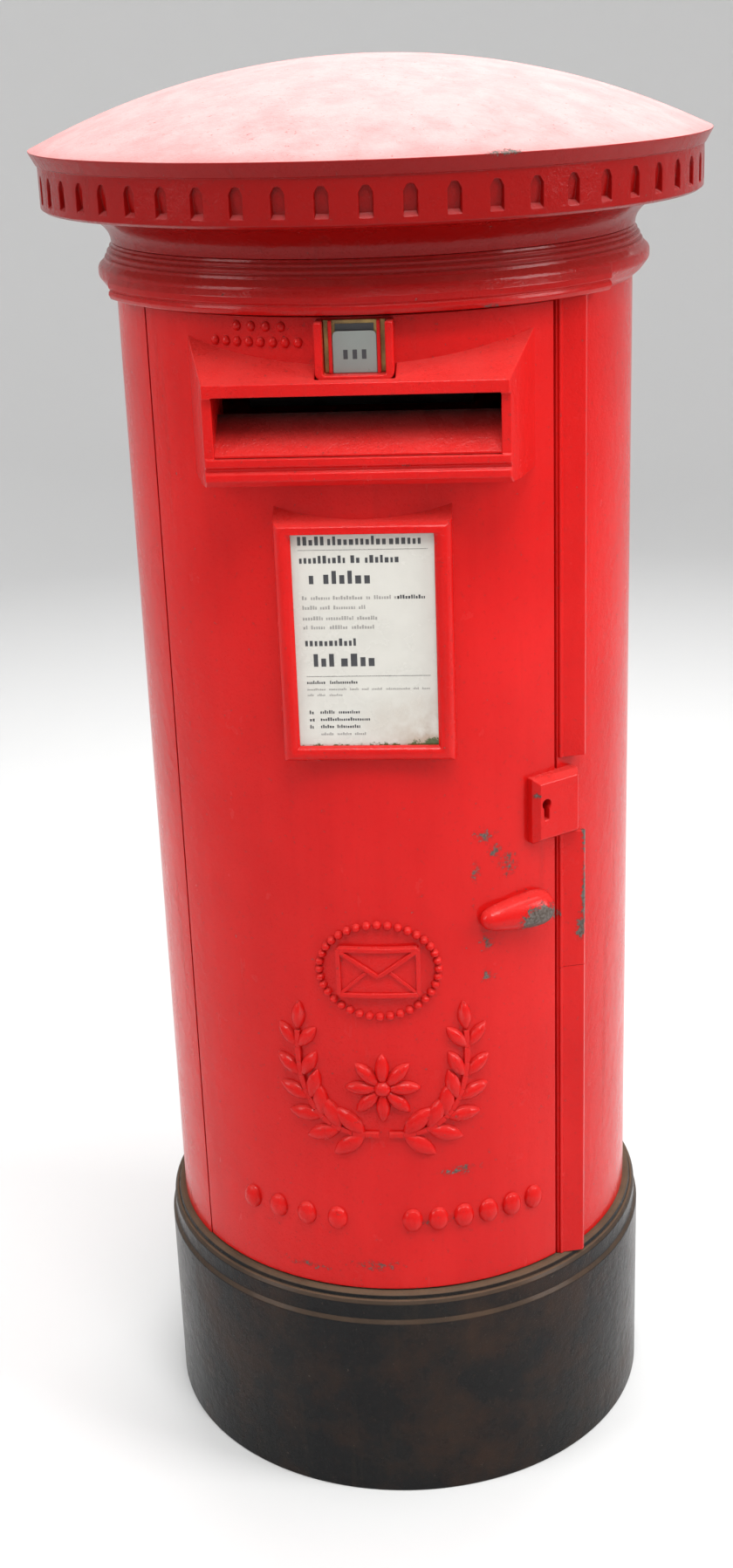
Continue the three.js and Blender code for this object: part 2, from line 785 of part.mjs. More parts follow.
function turnButton(side) {
  const reach = buttonX - plateHalf + trayWall + 6;
  const shape = new THREE.Shape();
  const end = buttonX - reach;
  shape.absarc(buttonX, 0, buttonRadius, -Math.PI / 2, Math.PI / 2, false);
  shape.absarc(end, 0, buttonRadius - 1, Math.PI / 2, (3 * Math.PI) / 2, false);
  const plate = extruded(shape, 0, buttonThickness, 4).rotate([90, 0, 0]);
  const bar = plate.translate([0, buttonFace + buttonThickness, buttonZ]);
  const bore = crosswise(screwRadius + pinPlay, buttonX, buttonZ, buttonFace - 5, buttonFace + 9);
  const bored = bar.subtract(bore);
  return side > 0 ? bored : bored.mirror([1, 0, 0]);
}

function buttonScrew(side) {
  return screw(side * buttonX, buttonZ, buttonFace + buttonThickness + seat, buttonThickness + 12);
}

const bracketTop = doorHead - bracketDrop;
const bracketBottom = bracketTop - bracketHeight;
const bracketFront = -bodyRadius - bracketOut;

function tabletBracket() {
  const half = bracketWidth / 2;
  const outside = block(-half, half, bracketFront, -bodyRadius + 12, bracketBottom, bracketTop);
  const gap = half - bracketArm;
  const inside = block(-gap, gap, bracketFront - 1, 0, bracketBottom + 5, bracketTop + 1);
  return cutFrom(outside, inside, drum);
}

const slideFront = -bodyRadius - 5;
const tabletFoot = bracketBottom + 5 + seat;

// Pressed holder with folded edges that the tablet slides up between
function tabletSlide() {
  const half = bracketWidth / 2 - bracketArm - seat;
  const back = block(-half, half, slideFront, slideFront + 3, tabletFoot, bracketTop);
  const edges = leftAndRight.map((side) => {
    const inside = side * (tabletWidth / 2 + 0.4);
    const outside = side * (tabletWidth / 2 + 3);
    return block(
      Math.min(inside, outside), Math.max(inside, outside),
      slideFront - 5, slideFront + 1,
      tabletFoot, bracketTop,
    );
  });
  const slot = block(-13, 13, slideFront - 1, slideFront + 5, bracketTop - 8, bracketTop - 3);
  return joined(back, ...edges).subtract(slot).subtract(drum);
}

function dayTablet() {
  const half = tabletWidth / 2;
  const top = tabletFoot + tabletHeight;
  const front = slideFront - seat - tabletThickness;
  const shape = new THREE.Shape();
  shape.moveTo(-half, tabletFoot);
  shape.lineTo(half, tabletFoot);
  shape.absarc(half - 4, top - 4, 4, 0, Math.PI / 2, false);
  shape.absarc(-half + 4, top - 4, 4, Math.PI / 2, Math.PI, false);
  const flat = extruded(shape, 0, tabletThickness, 2);
  return flat.rotate([90, 0, 0]).translate([0, front + tabletThickness, 0]);
}

function lockBlock() {
  const shape = new THREE.Shape();
  const half = blockWidth / 2;
  const tall = blockHeight / 2;
  shape.moveTo(-half, -tall);
  shape.lineTo(half, -tall);
  shape.lineTo(half, tall);
  shape.lineTo(-half, tall);
  const bevelDepth = blockBevel + 2;
  const slab = new THREE.ExtrudeGeometry(shape, {
    depth: blockOut,
    bevelEnabled: true,
    bevelSegments: 1,
    bevelSize: blockBevel,
    bevelThickness: bevelDepth,
  });
  const placed = solid(slab)
    .rotate([90, 0, 0])
    .translate([blockShift, -bodyRadius + bevelDepth, blockZ]);
  const trimmed = placed.subtract(block(-100, 100, -bodyRadius + 12, 0, blockZ - 80, blockZ + 80));
  return round(trimmed.subtract(keyhole(-bodyRadius - 40, 0)), lockAngle).subtract(drum);
}

// Teardrop pull, thin towards the hinge and full towards the lock
function doorPull() {
  const profile = [
    [0, -pullLength * 0.55],
    [pullRadius * 0.45, -pullLength * 0.5],
    [pullRadius * 0.72, -pullLength * 0.32],
    [pullRadius * 0.9, -pullLength * 0.08],
    [pullRadius, pullLength * 0.16],
    [pullRadius * 0.95, pullLength * 0.3],
    [pullRadius * 0.68, pullLength * 0.41],
    [0, pullLength * 0.45],
  ];
  const points = profile.map(([radius, height]) => new THREE.Vector2(radius, height));
  const form = new THREE.LatheGeometry(points, 16).rotateZ(-Math.PI / 2);
  const placed = solid(form).translate([0, -bodyRadius - 3, pullZ]);
  const holes = pullScrewPlaces.map(([x, z]) => screwHole(x, z, -innerRadius, 24));
  return round(cutFrom(placed, ...holes), pullAngle).subtract(drum);
}

function pullScrew([x, z]) {
  return round(screw(x, z, -innerRadius + seat + 0.9, 24), pullAngle);
}

// ---------- Lock inside the door

const caseFace = innerRadius - 6.5; // distance from the axis to the case's outer plate
const caseInner = caseFace - caseDepth;
const caseLeft = caseEdge - caseWidth;
const caseFoot = keyZ - caseHeight / 2 - 6;
const caseTop = caseFoot + caseHeight;
const earHeight = 12;
const boltTop = keyZ - 7;
const boltFoot = boltTop - boltHeight;
const boltOut = -caseFace + caseDepth / 2 - boltDepth / 2;
const lockScrewPlaces = [
  [caseLeft + 10, caseTop + 6],
  [caseEdge - 10, caseTop + 6],
  [caseLeft + 10, caseFoot - 6],
  [caseEdge - 10, caseFoot - 6],
];

function lockCase() {
  const shellBlock = block(caseLeft, caseEdge, -caseFace, -caseInner, caseFoot, caseTop);
  const plate = block(
    caseLeft, caseEdge, -caseFace, -caseFace + caseWall, caseFoot - earHeight, caseTop + earHeight,
  );
  const hollow = block(
    caseLeft + caseWall, caseEdge - caseWall,
    -caseFace + caseWall, 0,
    caseFoot + caseWall, caseTop - caseWall,
  );
  const boltWay = block(
    caseEdge - 10, caseEdge + 10,
    boltOut - 0.5, boltOut + boltDepth + 0.5,
    boltFoot - 0.5, boltTop + 0.5,
  );
  const holes = lockScrewPlaces.map(([x, z]) => screwHole(x, z, -caseFace + caseWall, 14));
  const body = joined(shellBlock, plate);
  const keyWay = keyhole(-caseFace - 5, -caseFace + 5);
  return round(cutFrom(body, hollow, boltWay, keyWay, ...holes), lockAngle);
}

function lockCover() {
  const near = -caseInner + seat;
  return round(block(caseLeft, caseEdge, near, near + 2, caseFoot, caseTop), lockAngle);
}

function lockScrew([x, z]) {
  return round(screw(x, z, -caseFace + caseWall + seat, 13), lockAngle);
}

// Round follower that the key turns; its arm drives the bolt through a notch
function boltThrower() {
  const start = -caseFace + caseWall + 1;
  const end = -caseInner - 1.5;
  const barrel = crosswise(6, 0, keyZ, start, end, 16);
  const arm = block(-2, 2, boltOut + 1, boltOut + boltDepth - 1, keyZ - throwerArm, keyZ);
  const keyWay = block(-1.6, 1.6, start - 1, start + 4, keyZ - 4, keyZ + 4);
  return round(joined(barrel, arm).subtract(keyWay), lockAngle);
}

function lockBolt() {
  const bar = block(caseLeft + 18, caseEdge - 0.5, boltOut, boltOut + boltDepth, boltFoot, boltTop);
  const notch = block(-5, 5, boltOut - 1, boltOut + boltDepth + 1, keyZ - throwerArm - 2, boltTop + 1);
  return round(bar.subtract(notch), lockAngle);
}

const keeperLeft = caseEdge + 7.5;
const keeperWidth = 24;
const keeperFace = -innerRadius + 4.5;
const keeperDepth = 25;
const keeperScrewPlaces = [
  [keeperLeft + 18, boltFoot - 10],
  [keeperLeft + 18, boltTop + 10],
];
const keeperStep = 12; // how far the bolt's end can reach over the keeper
const boltPlay = 1.5;

// Stepped block on the jamb; the thrown bolt lies behind its front leg
function boltKeeper() {
  const body = block(
    keeperLeft, keeperLeft + keeperWidth, keeperFace, keeperFace + keeperDepth, boltFoot - 18, boltTop + 18,
  );
  const back = keeperFace + keeperDepth;
  const step = block(
    keeperLeft - 1, keeperLeft + keeperStep, boltOut - boltPlay, back + 1, boltFoot - 20, boltTop + 20,
  );
  const holes = keeperScrewPlaces.map(([x, z]) => screwHole(x, z, back, keeperDepth + 14));
  return round(cutFrom(body, step, ...holes), lockAngle).intersect(core);
}

function keeperScrew([x, z]) {
  return round(screw(x, z, keeperFace + keeperDepth + seat, keeperDepth + 8), lockAngle);
}

// ---------- Letter cage

const cageFoot = plinthHeight + seat + floorThickness + seat;
const hoopShares = [0, 0.5, 1];

function cageSection(from, to, rodAngles) {
  const hoops = hoopShares.map((share) => {
    const z = cageFoot + share * (cageHeight - hoopWidth);
    return band(cageRadius, cageRadius + hoopThickness, from, to, z, z + hoopWidth);
  });
  const rods = rodAngles.map((angle) => {
    const at = polar(cageRadius, angle);
    return upright(cageRod, at.x, at.y, cageFoot, cageFoot + cageHeight, 5);
  });
  return joined(...hoops.slice(0, 1), ...rods, ...hoops.slice(1));
}

const guideHalf = gateHalf + 3;

function letterCage() {
  const rodCount = 10;
  const first = guideHalf + 7;
  const step = (360 - 2 * first) / (rodCount - 1);
  const angles = Array.from({ length: rodCount }, (_, i) => first + i * step);
  return cageSection(first - 2, 360 - first + 2, angles);
}

function cageGate() {
  const rodCount = 6;
  const step = (2 * gateHalf - 6) / (rodCount - 1);
  const angles = Array.from({ length: rodCount }, (_, i) => -gateHalf + 3 + i * step);
  return cageSection(-gateHalf, gateHalf, angles);
}

// Angle bar beside the gate, tall enough to guide it all the way up
function gateGuide(side) {
  const top = cageFoot + cageHeight + gateLift;
  const from = guideHalf - 6;
  const inner = band(cageRadius - 9, cageRadius - cageRod - 1.5, from, guideHalf + 3, cageFoot, top);
  const outer = band(cageRadius - 7, cageRadius + hoopThickness, guideHalf, guideHalf + 3, cageFoot, top);
  const bar = joined(inner, outer);
  return side > 0 ? bar : bar.mirror([1, 0, 0]);
}

// ---------- Assembly

const mailbox = new THREE.Group();
const fixedCasing = new THREE.Group();
const doorLeaf = new THREE.Group();
mailbox.add(fixedCasing, doorLeaf);

function place(group, name, material, body) {
  const mesh = new THREE.Mesh(geometryOf(body), material);
  mesh.name = name;
  group.add(mesh);
}

place(fixedCasing, "plinth_ring", blackPaint, plinthRing());
place(fixedCasing, "carcass", paint, carcass());
place(fixedCasing, "rib_insert", paint, ribInsert());
place(fixedCasing, "cap", paint, cap());
place(fixedCasing, "head_stop", paint, headStop());
place(fixedCasing, "mail_floor", zinc, mailFloor());
place(fixedCasing, "upper_hinge_bracket", paint, upperHingeBracket());
place(fixedCasing, "upper_hinge_pin", steel, upperHingePin());
place(fixedCasing, "lower_hinge_pin", steel, lowerHingePin());
place(fixedCasing, "thrust_washer", brass, thrustWasher());
place(fixedCasing, "bolt_keeper", paint, boltKeeper());
place(fixedCasing, "letter_cage", zinc, letterCage());
place(fixedCasing, "cage_gate", zinc, cageGate());
capBoltAngles.forEach((angle, i) => place(fixedCasing, `cap_bolt_${i + 1}`, steel, capBolt(angle)));
plinthBoltAngles.forEach((angle, i) => place(fixedCasing, `plinth_bolt_${i + 1}`, steel, plinthBolt(angle)));
bracketBoltPlaces.forEach((at, i) => place(fixedCasing, `bracket_bolt_${i + 1}`, steel, bracketBolt(at)));
keeperScrewPlaces.forEach((at, i) => place(fixedCasing, `keeper_screw_${i + 1}`, steel, keeperScrew(at)));
for (const side of leftAndRight) {
  const name = side < 0 ? "left" : "right";
  place(fixedCasing, `gate_guide_${name}`, zinc, gateGuide(side));
  place(doorLeaf, `turn_button_${name}`, brass, turnButton(side));
  place(doorLeaf, `button_screw_${name}`, brass, buttonScrew(side));
}

place(doorLeaf, "door", paint, door());
place(doorLeaf, "aperture_surround", paint, apertureSurround());
place(doorLeaf, "baffle_plate", paint, bafflePlate());
place(doorLeaf, "deflector_hood", zinc, deflectorHood());
place(doorLeaf, "notice_frame", paint, noticeFrame());
place(doorLeaf, "notice_plate", enamel, noticePlate());
place(doorLeaf, "notice_tray", zinc, noticeTray());
place(doorLeaf, "tablet_bracket", paint, tabletBracket());
place(doorLeaf, "tablet_slide", brass, tabletSlide());
place(doorLeaf, "day_tablet", tabletEnamel, dayTablet());
place(doorLeaf, "lock_block", paint, lockBlock());
place(doorLeaf, "lock_case", steel, lockCase());
place(doorLeaf, "lock_cover", steel, lockCover());
place(doorLeaf, "bolt_thrower", brass, boltThrower());
place(doorLeaf, "lock_bolt", brass, lockBolt());
place(doorLeaf, "door_pull", paint, doorPull());
place(doorLeaf, "upper_hinge_lug", paint, hingeLug(upperLugHead - lugHeight));
place(doorLeaf, "lower_hinge_lug", paint, hingeLug(lowerLugFoot));
place(doorLeaf, "upper_hinge_bush", brass, hingeBush(upperLugHead - lugHeight));
place(doorLeaf, "lower_hinge_bush", brass, hingeBush(lowerLugFoot));
lockScrewPlaces.forEach((at, i) => place(doorLeaf, `lock_screw_${i + 1}`, steel, lockScrew(at)));
pullScrewPlaces.forEach((at, i) => place(doorLeaf, `pull_screw_${i + 1}`, steel, pullScrew(at)));
deflectorScrewAngles.forEach((angle, i) => {
  place(doorLeaf, `deflector_screw_${i + 1}`, steel, deflectorScrew(angle));
});

export default mailbox;
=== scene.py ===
import json
import math
import random

import bmesh
import bpy
from mathutils import Matrix, Vector

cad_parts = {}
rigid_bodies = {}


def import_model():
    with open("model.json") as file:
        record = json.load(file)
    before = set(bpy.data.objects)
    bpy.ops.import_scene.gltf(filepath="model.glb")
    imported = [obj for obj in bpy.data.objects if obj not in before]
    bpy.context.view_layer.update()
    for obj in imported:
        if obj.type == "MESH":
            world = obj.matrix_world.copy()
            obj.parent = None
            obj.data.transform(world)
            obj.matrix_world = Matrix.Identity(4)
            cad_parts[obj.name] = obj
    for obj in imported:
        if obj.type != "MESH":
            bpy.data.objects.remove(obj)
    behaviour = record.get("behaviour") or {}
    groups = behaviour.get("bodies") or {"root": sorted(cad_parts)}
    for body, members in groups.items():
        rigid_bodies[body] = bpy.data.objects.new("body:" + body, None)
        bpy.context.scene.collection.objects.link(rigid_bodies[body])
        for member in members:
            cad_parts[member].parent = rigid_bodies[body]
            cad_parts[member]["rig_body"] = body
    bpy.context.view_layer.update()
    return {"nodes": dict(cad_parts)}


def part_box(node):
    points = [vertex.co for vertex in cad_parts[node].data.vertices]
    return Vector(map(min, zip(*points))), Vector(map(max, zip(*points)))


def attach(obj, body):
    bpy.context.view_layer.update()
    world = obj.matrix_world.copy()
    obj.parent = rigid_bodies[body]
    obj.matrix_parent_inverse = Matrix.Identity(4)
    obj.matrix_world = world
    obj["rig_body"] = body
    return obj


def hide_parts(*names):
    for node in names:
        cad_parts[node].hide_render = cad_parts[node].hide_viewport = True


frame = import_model()
scene = bpy.context.scene

# Sizes are millimetres and angles degrees; angles round the body start at its front and grow towards +X.
# A finished piece is turned into metres by makePiece.
mm = 0.001


def nodeBox(name):
    low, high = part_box(name)
    return low / mm, high / mm


bodyRadius = 248.0
wall = 12.0
innerRadius = bodyRadius - wall
doorLow, doorHigh = nodeBox("door")
capLow, capHigh = nodeBox("cap")
plinthTop = nodeBox("carcass")[0].z - 0.3
ringTop = capLow.z - 0.3
ringFoot = doorHigh.z + 2.5


# mesh helpers

def numbered(bm, index):
    # every face of a shape takes one of its piece's materials
    for face in bm.faces:
        face.material_index = index
    return bm


def polar(radius, angle, height=0.0):
    turn = math.radians(angle)
    return Vector((radius * math.sin(turn), -radius * math.cos(turn), height))


def roundedOutline(outline, closed=True, steps=4):
    # a point may carry a third number, the radius that rounds its corner
    result = []
    last = len(outline) - 1
    for i, point in enumerate(outline):
        here = Vector(point[:2])
        radius = point[2] if len(point) > 2 else 0
        if not radius or (not closed and i in (0, last)):
            result.append(here)
            continue
        before = (Vector(outline[i - 1][:2]) - here).normalized()
        after = (Vector(outline[(i + 1) % len(outline)][:2]) - here).normalized()
        half = before.angle(after) / 2
        centre = here + (before + after).normalized() * radius / math.sin(half)
        back = radius / math.tan(half)
        start = here + before * back - centre
        end = here + after * back - centre
        for k in range(steps + 1):
            result.append(centre + start.lerp(end, k / steps).normalized() * radius)
    return result


def arcPoints(cx, cy, radius, start, end, steps):
    # angles in degrees, anticlockwise from the first axis
    turns = [math.radians(start + (end - start) * i / steps) for i in range(steps + 1)]
    return [(cx + radius * math.cos(t), cy + radius * math.sin(t)) for t in turns]


def chain(bm, points, closed=True):
    verts = [bm.verts.new(p) for p in points]
    pairs = list(zip(verts, verts[1:])) + ([(verts[-1], verts[0])] if closed else [])
    return verts, [bm.edges.new(pair) for pair in pairs]


def turned(profile, steps=288, start=0.0, sweep=360.0, closed=True):
    # a profile of [radius, height] points spun about the body's axis
    bm = bmesh.new()
    points = [polar(p[0], start, p[1]) for p in roundedOutline(profile, closed)]
    verts, edges = chain(bm, points, closed)
    full = sweep == 360.0
    if not full:
        bmesh.ops.contextual_create(bm, geom=edges)
    made = bmesh.ops.spin(
        bm, geom=verts + edges, cent=(0, 0, 0), axis=(0, 0, 1),
        angle=math.radians(sweep), steps=steps, use_merge=full,
    )
    if not full:
        ends = [e for e in made["geom_last"] if isinstance(e, bmesh.types.BMEdge)]
        bmesh.ops.contextual_create(bm, geom=ends)
    return bm


def ringSection(inner, outer, foot, head, *soft):
    # a plain oblong section for a ring, with its corners rounded if wanted
    return [(inner, foot, *soft), (outer, foot, *soft), (outer, head, *soft), (inner, head, *soft)]


def prism(outline, bottom, top, steps=4):
    # an outline in X and Y raised from bottom to top
    bm = bmesh.new()
    points = [(p.x, p.y, bottom) for p in roundedOutline(outline, True, steps)]
    verts, edges = chain(bm, points)
    face = bm.faces.new(verts)
    raised = bmesh.ops.extrude_face_region(bm, geom=[face])
    moved = [v for v in raised["geom"] if isinstance(v, bmesh.types.BMVert)]
    bmesh.ops.translate(bm, vec=(0, 0, top - bottom), verts=moved)
    return bm


def standing(bm):
    # an outline drawn in X and Y now stands in X and Z, and its height points forwards
    bmesh.ops.rotate(bm, verts=bm.verts, cent=(0, 0, 0), matrix=Matrix.Rotation(math.pi / 2, 3, "X"))
    return bm


def across(outline, halfWidth, steps=4):
    # a side profile in Y and Z drawn out along X
    bm = prism(outline, -halfWidth, halfWidth, steps)
    matrix = Matrix(((0, 0, 1), (1, 0, 0), (0, 1, 0)))
    bmesh.ops.transform(bm, matrix=matrix.to_4x4(), verts=bm.verts)
    return bm


def turnedRound(bm, angle):
    matrix = Matrix.Rotation(math.radians(angle), 3, "Z")
    bmesh.ops.rotate(bm, verts=bm.verts, cent=(0, 0, 0), matrix=matrix)
    return bm


def moved(bm, x=0.0, y=0.0, z=0.0):
    bmesh.ops.translate(bm, vec=(x, y, z), verts=bm.verts)
    return bm


def joined(*parts):
    # one mesh of several shapes; frees them
    whole = bmesh.new()
    for part in parts:
        mesh = bpy.data.meshes.new("part")
        part.to_mesh(mesh)
        part.free()
        whole.from_mesh(mesh)
        bpy.data.meshes.remove(mesh)
    return whole


def cleaned(bm, distance=0.002):
    bmesh.ops.remove_doubles(bm, verts=bm.verts, dist=distance)
    bmesh.ops.recalc_face_normals(bm, faces=bm.faces)
    return bm


def combined(operation, bm, others):
    shapes = []
    for shape in (bm, *others):
        mesh = bpy.data.meshes.new("shape")
        cleaned(shape).to_mesh(mesh)
        shape.free()
        shapes.append(bpy.data.objects.new("shape", mesh))
        scene.collection.objects.link(shapes[-1])
    for other in shapes[1:]:
        modifier = shapes[0].modifiers.new("combine", "BOOLEAN")
        modifier.operation = operation
        modifier.solver = "EXACT"
        modifier.object = other
    bpy.context.view_layer.update()
    result = shapes[0].evaluated_get(bpy.context.evaluated_depsgraph_get())
    rest = bmesh.new()
    rest.from_mesh(result.to_mesh())
    result.to_mesh_clear()
    for shape in shapes:
        mesh = shape.data
        bpy.data.objects.remove(shape)
        bpy.data.meshes.remove(mesh)
    return rest


def cutAway(bm, *cutters):
    # what is left of a closed shape once closed cutters are taken out of it
    return combined("DIFFERENCE", bm, cutters)


def common(bm, other):
    # what two closed shapes share
    return combined("INTERSECT", bm, [other])


def drum(radius, bottom=-10.0, top=1500.0, steps=180):
    bm = bmesh.new()
    bmesh.ops.create_cone(
        bm, cap_ends=True, segments=steps, radius1=radius, radius2=radius, depth=top - bottom,
        matrix=Matrix.Translation((0, 0, (top + bottom) / 2)),
    )
    return bm


def slab(x0, x1, y0, y1, z0, z1):
    bm = bmesh.new()
    bmesh.ops.create_cube(bm, size=1)
    bmesh.ops.scale(bm, vec=(x1 - x0, y1 - y0, z1 - z0), verts=bm.verts)
    return moved(bm, (x0 + x1) / 2, (y0 + y1) / 2, (z0 + z1) / 2)


def sliced(bm, spacing=4.0):
    # even cuts across X, so that a flat shape can bend round the body
    low = min(v.co.x for v in bm.verts)
    high = max(v.co.x for v in bm.verts)
    count = max(1, round((high - low) / spacing))
    for i in range(1, count):
        geom = bm.verts[:] + bm.edges[:] + bm.faces[:]
        place = (low + (high - low) * i / count, 0, 0)
        bmesh.ops.bisect_plane(bm, geom=geom, plane_co=place, plane_no=(1, 0, 0), dist=1e-5)
    return bm


def wrapped(bm, radius=bodyRadius):
    # bends a shape standing at the front round the body: X becomes length along the face
    for vert in sliced(bm).verts:
        vert.co = polar(-vert.co.y, math.degrees(vert.co.x / radius), vert.co.z)
    return bm


def smoothObject(name, bm):
    bmesh.ops.scale(bm, vec=(mm, mm, mm), verts=bm.verts)
    for face in bm.faces:
        face.smooth = True
    mesh = bpy.data.meshes.new(name)
    bm.to_mesh(mesh)
    bm.free()
    made = bpy.data.objects.new(name, mesh)
    scene.collection.objects.link(made)
    return made


def makePiece(name, bm, body, material, stands=(), soft=0.0, segments=2, limit=30.0):
    piece = smoothObject(name, cleaned(bm))
    for each in material if isinstance(material, list) else [material]:
        piece.data.materials.append(each)
    if soft:
        bevel = piece.modifiers.new("softEdges", "BEVEL")
        bevel.width = soft * mm
        bevel.segments = segments
        bevel.limit_method = "ANGLE"
        bevel.angle_limit = math.radians(limit)
        bevel.use_clamp_overlap = False
        bevel.miter_outer = "MITER_ARC"
    weighted = piece.modifiers.new("weighted", "WEIGHTED_NORMAL")
    weighted.keep_sharp = True
    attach(piece, body)
    if stands:
        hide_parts(*stands)


def finishNode(name, material, soft=0.5, segments=2):
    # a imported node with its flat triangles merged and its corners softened
    node = frame["nodes"][name]
    bm = bmesh.new()
    bm.from_mesh(node.data)
    bmesh.ops.scale(bm, vec=(1 / mm,) * 3, verts=bm.verts)
    bmesh.ops.remove_doubles(bm, verts=bm.verts, dist=0.002)
    bmesh.ops.dissolve_limit(bm, angle_limit=math.radians(0.6), verts=bm.verts, edges=bm.edges)
    makePiece(name + ".finish", numbered(bm, 0), node["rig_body"], material, [name], soft, segments, 34)


# shader groups

def newGroup(name, inputs, outputs):
    tree = bpy.data.node_groups.new(name, "ShaderNodeTree")
    for label, kind, value in inputs:
        socket = tree.interface.new_socket(label, in_out="INPUT", socket_type=kind)
        socket.default_value = value
    for label, kind in outputs:
        tree.interface.new_socket(label, in_out="OUTPUT", socket_type=kind)
    return tree, tree.nodes.new("NodeGroupInput"), tree.nodes.new("NodeGroupOutput")


def noiseAt(tree, vector, scale, detail=3.0, roughness=0.5, stretch=None):
    if stretch:
        mapping = tree.nodes.new("ShaderNodeMapping")
        mapping.inputs["Scale"].default_value = stretch
        tree.links.new(vector, mapping.inputs["Vector"])
        vector = mapping.outputs["Vector"]
    node = tree.nodes.new("ShaderNodeTexNoise")
    node.inputs["Scale"].default_value = scale
    node.inputs["Detail"].default_value = detail
    node.inputs["Roughness"].default_value = roughness
    tree.links.new(vector, node.inputs["Vector"])
    return node.outputs["Fac"]


def mathNode(tree, operation, a, b):
    node = tree.nodes.new("ShaderNodeMath")
    node.operation = operation
    for i, value in enumerate((a, b)):
        if isinstance(value, (int, float)):
            node.inputs[i].default_value = value
        else:
            tree.links.new(value, node.inputs[i])
    return node.outputs[0]


def ranged(tree, value, low, high, toLow=0.0, toHigh=1.0):
    node = tree.nodes.new("ShaderNodeMapRange")
    for label, number in (("From Min", low), ("From Max", high), ("To Min", toLow), ("To Max", toHigh)):
        if isinstance(number, (int, float)):
            node.inputs[label].default_value = number
        else:
            tree.links.new(number, node.inputs[label])
    tree.links.new(value, node.inputs["Value"])
    return node.outputs["Result"]


def mixed(tree, factor, a, b):
    node = tree.nodes.new("ShaderNodeMix")
    node.data_type = "RGBA"
    for label, value in (("Factor", factor), ("A", a), ("B", b)):
        kind = "VALUE" if label == "Factor" else "RGBA"
        socket = next(s for s in node.inputs if s.name == label and s.type == kind and s.enabled)
        if isinstance(value, (int, float)):
            socket.default_value = value
        elif isinstance(value, tuple):
            socket.default_value = (*value, 1.0) if len(value) == 3 else value
        else:
            tree.links.new(value, socket)
    return next(s for s in node.outputs if s.type == "RGBA")


def objectPlace(tree):
    return tree.nodes.new("ShaderNodeTexCoord").outputs["Object"]


def split(tree, vector):
    node = tree.nodes.new("ShaderNodeSeparateXYZ")
    tree.links.new(vector, node.inputs[0])
    return node.outputs


def chained(tree, value, *steps):
    # a run of math nodes, each an operation and its other value
    for operation, other in steps:
        value = mathNode(tree, operation, value, other)
    return value


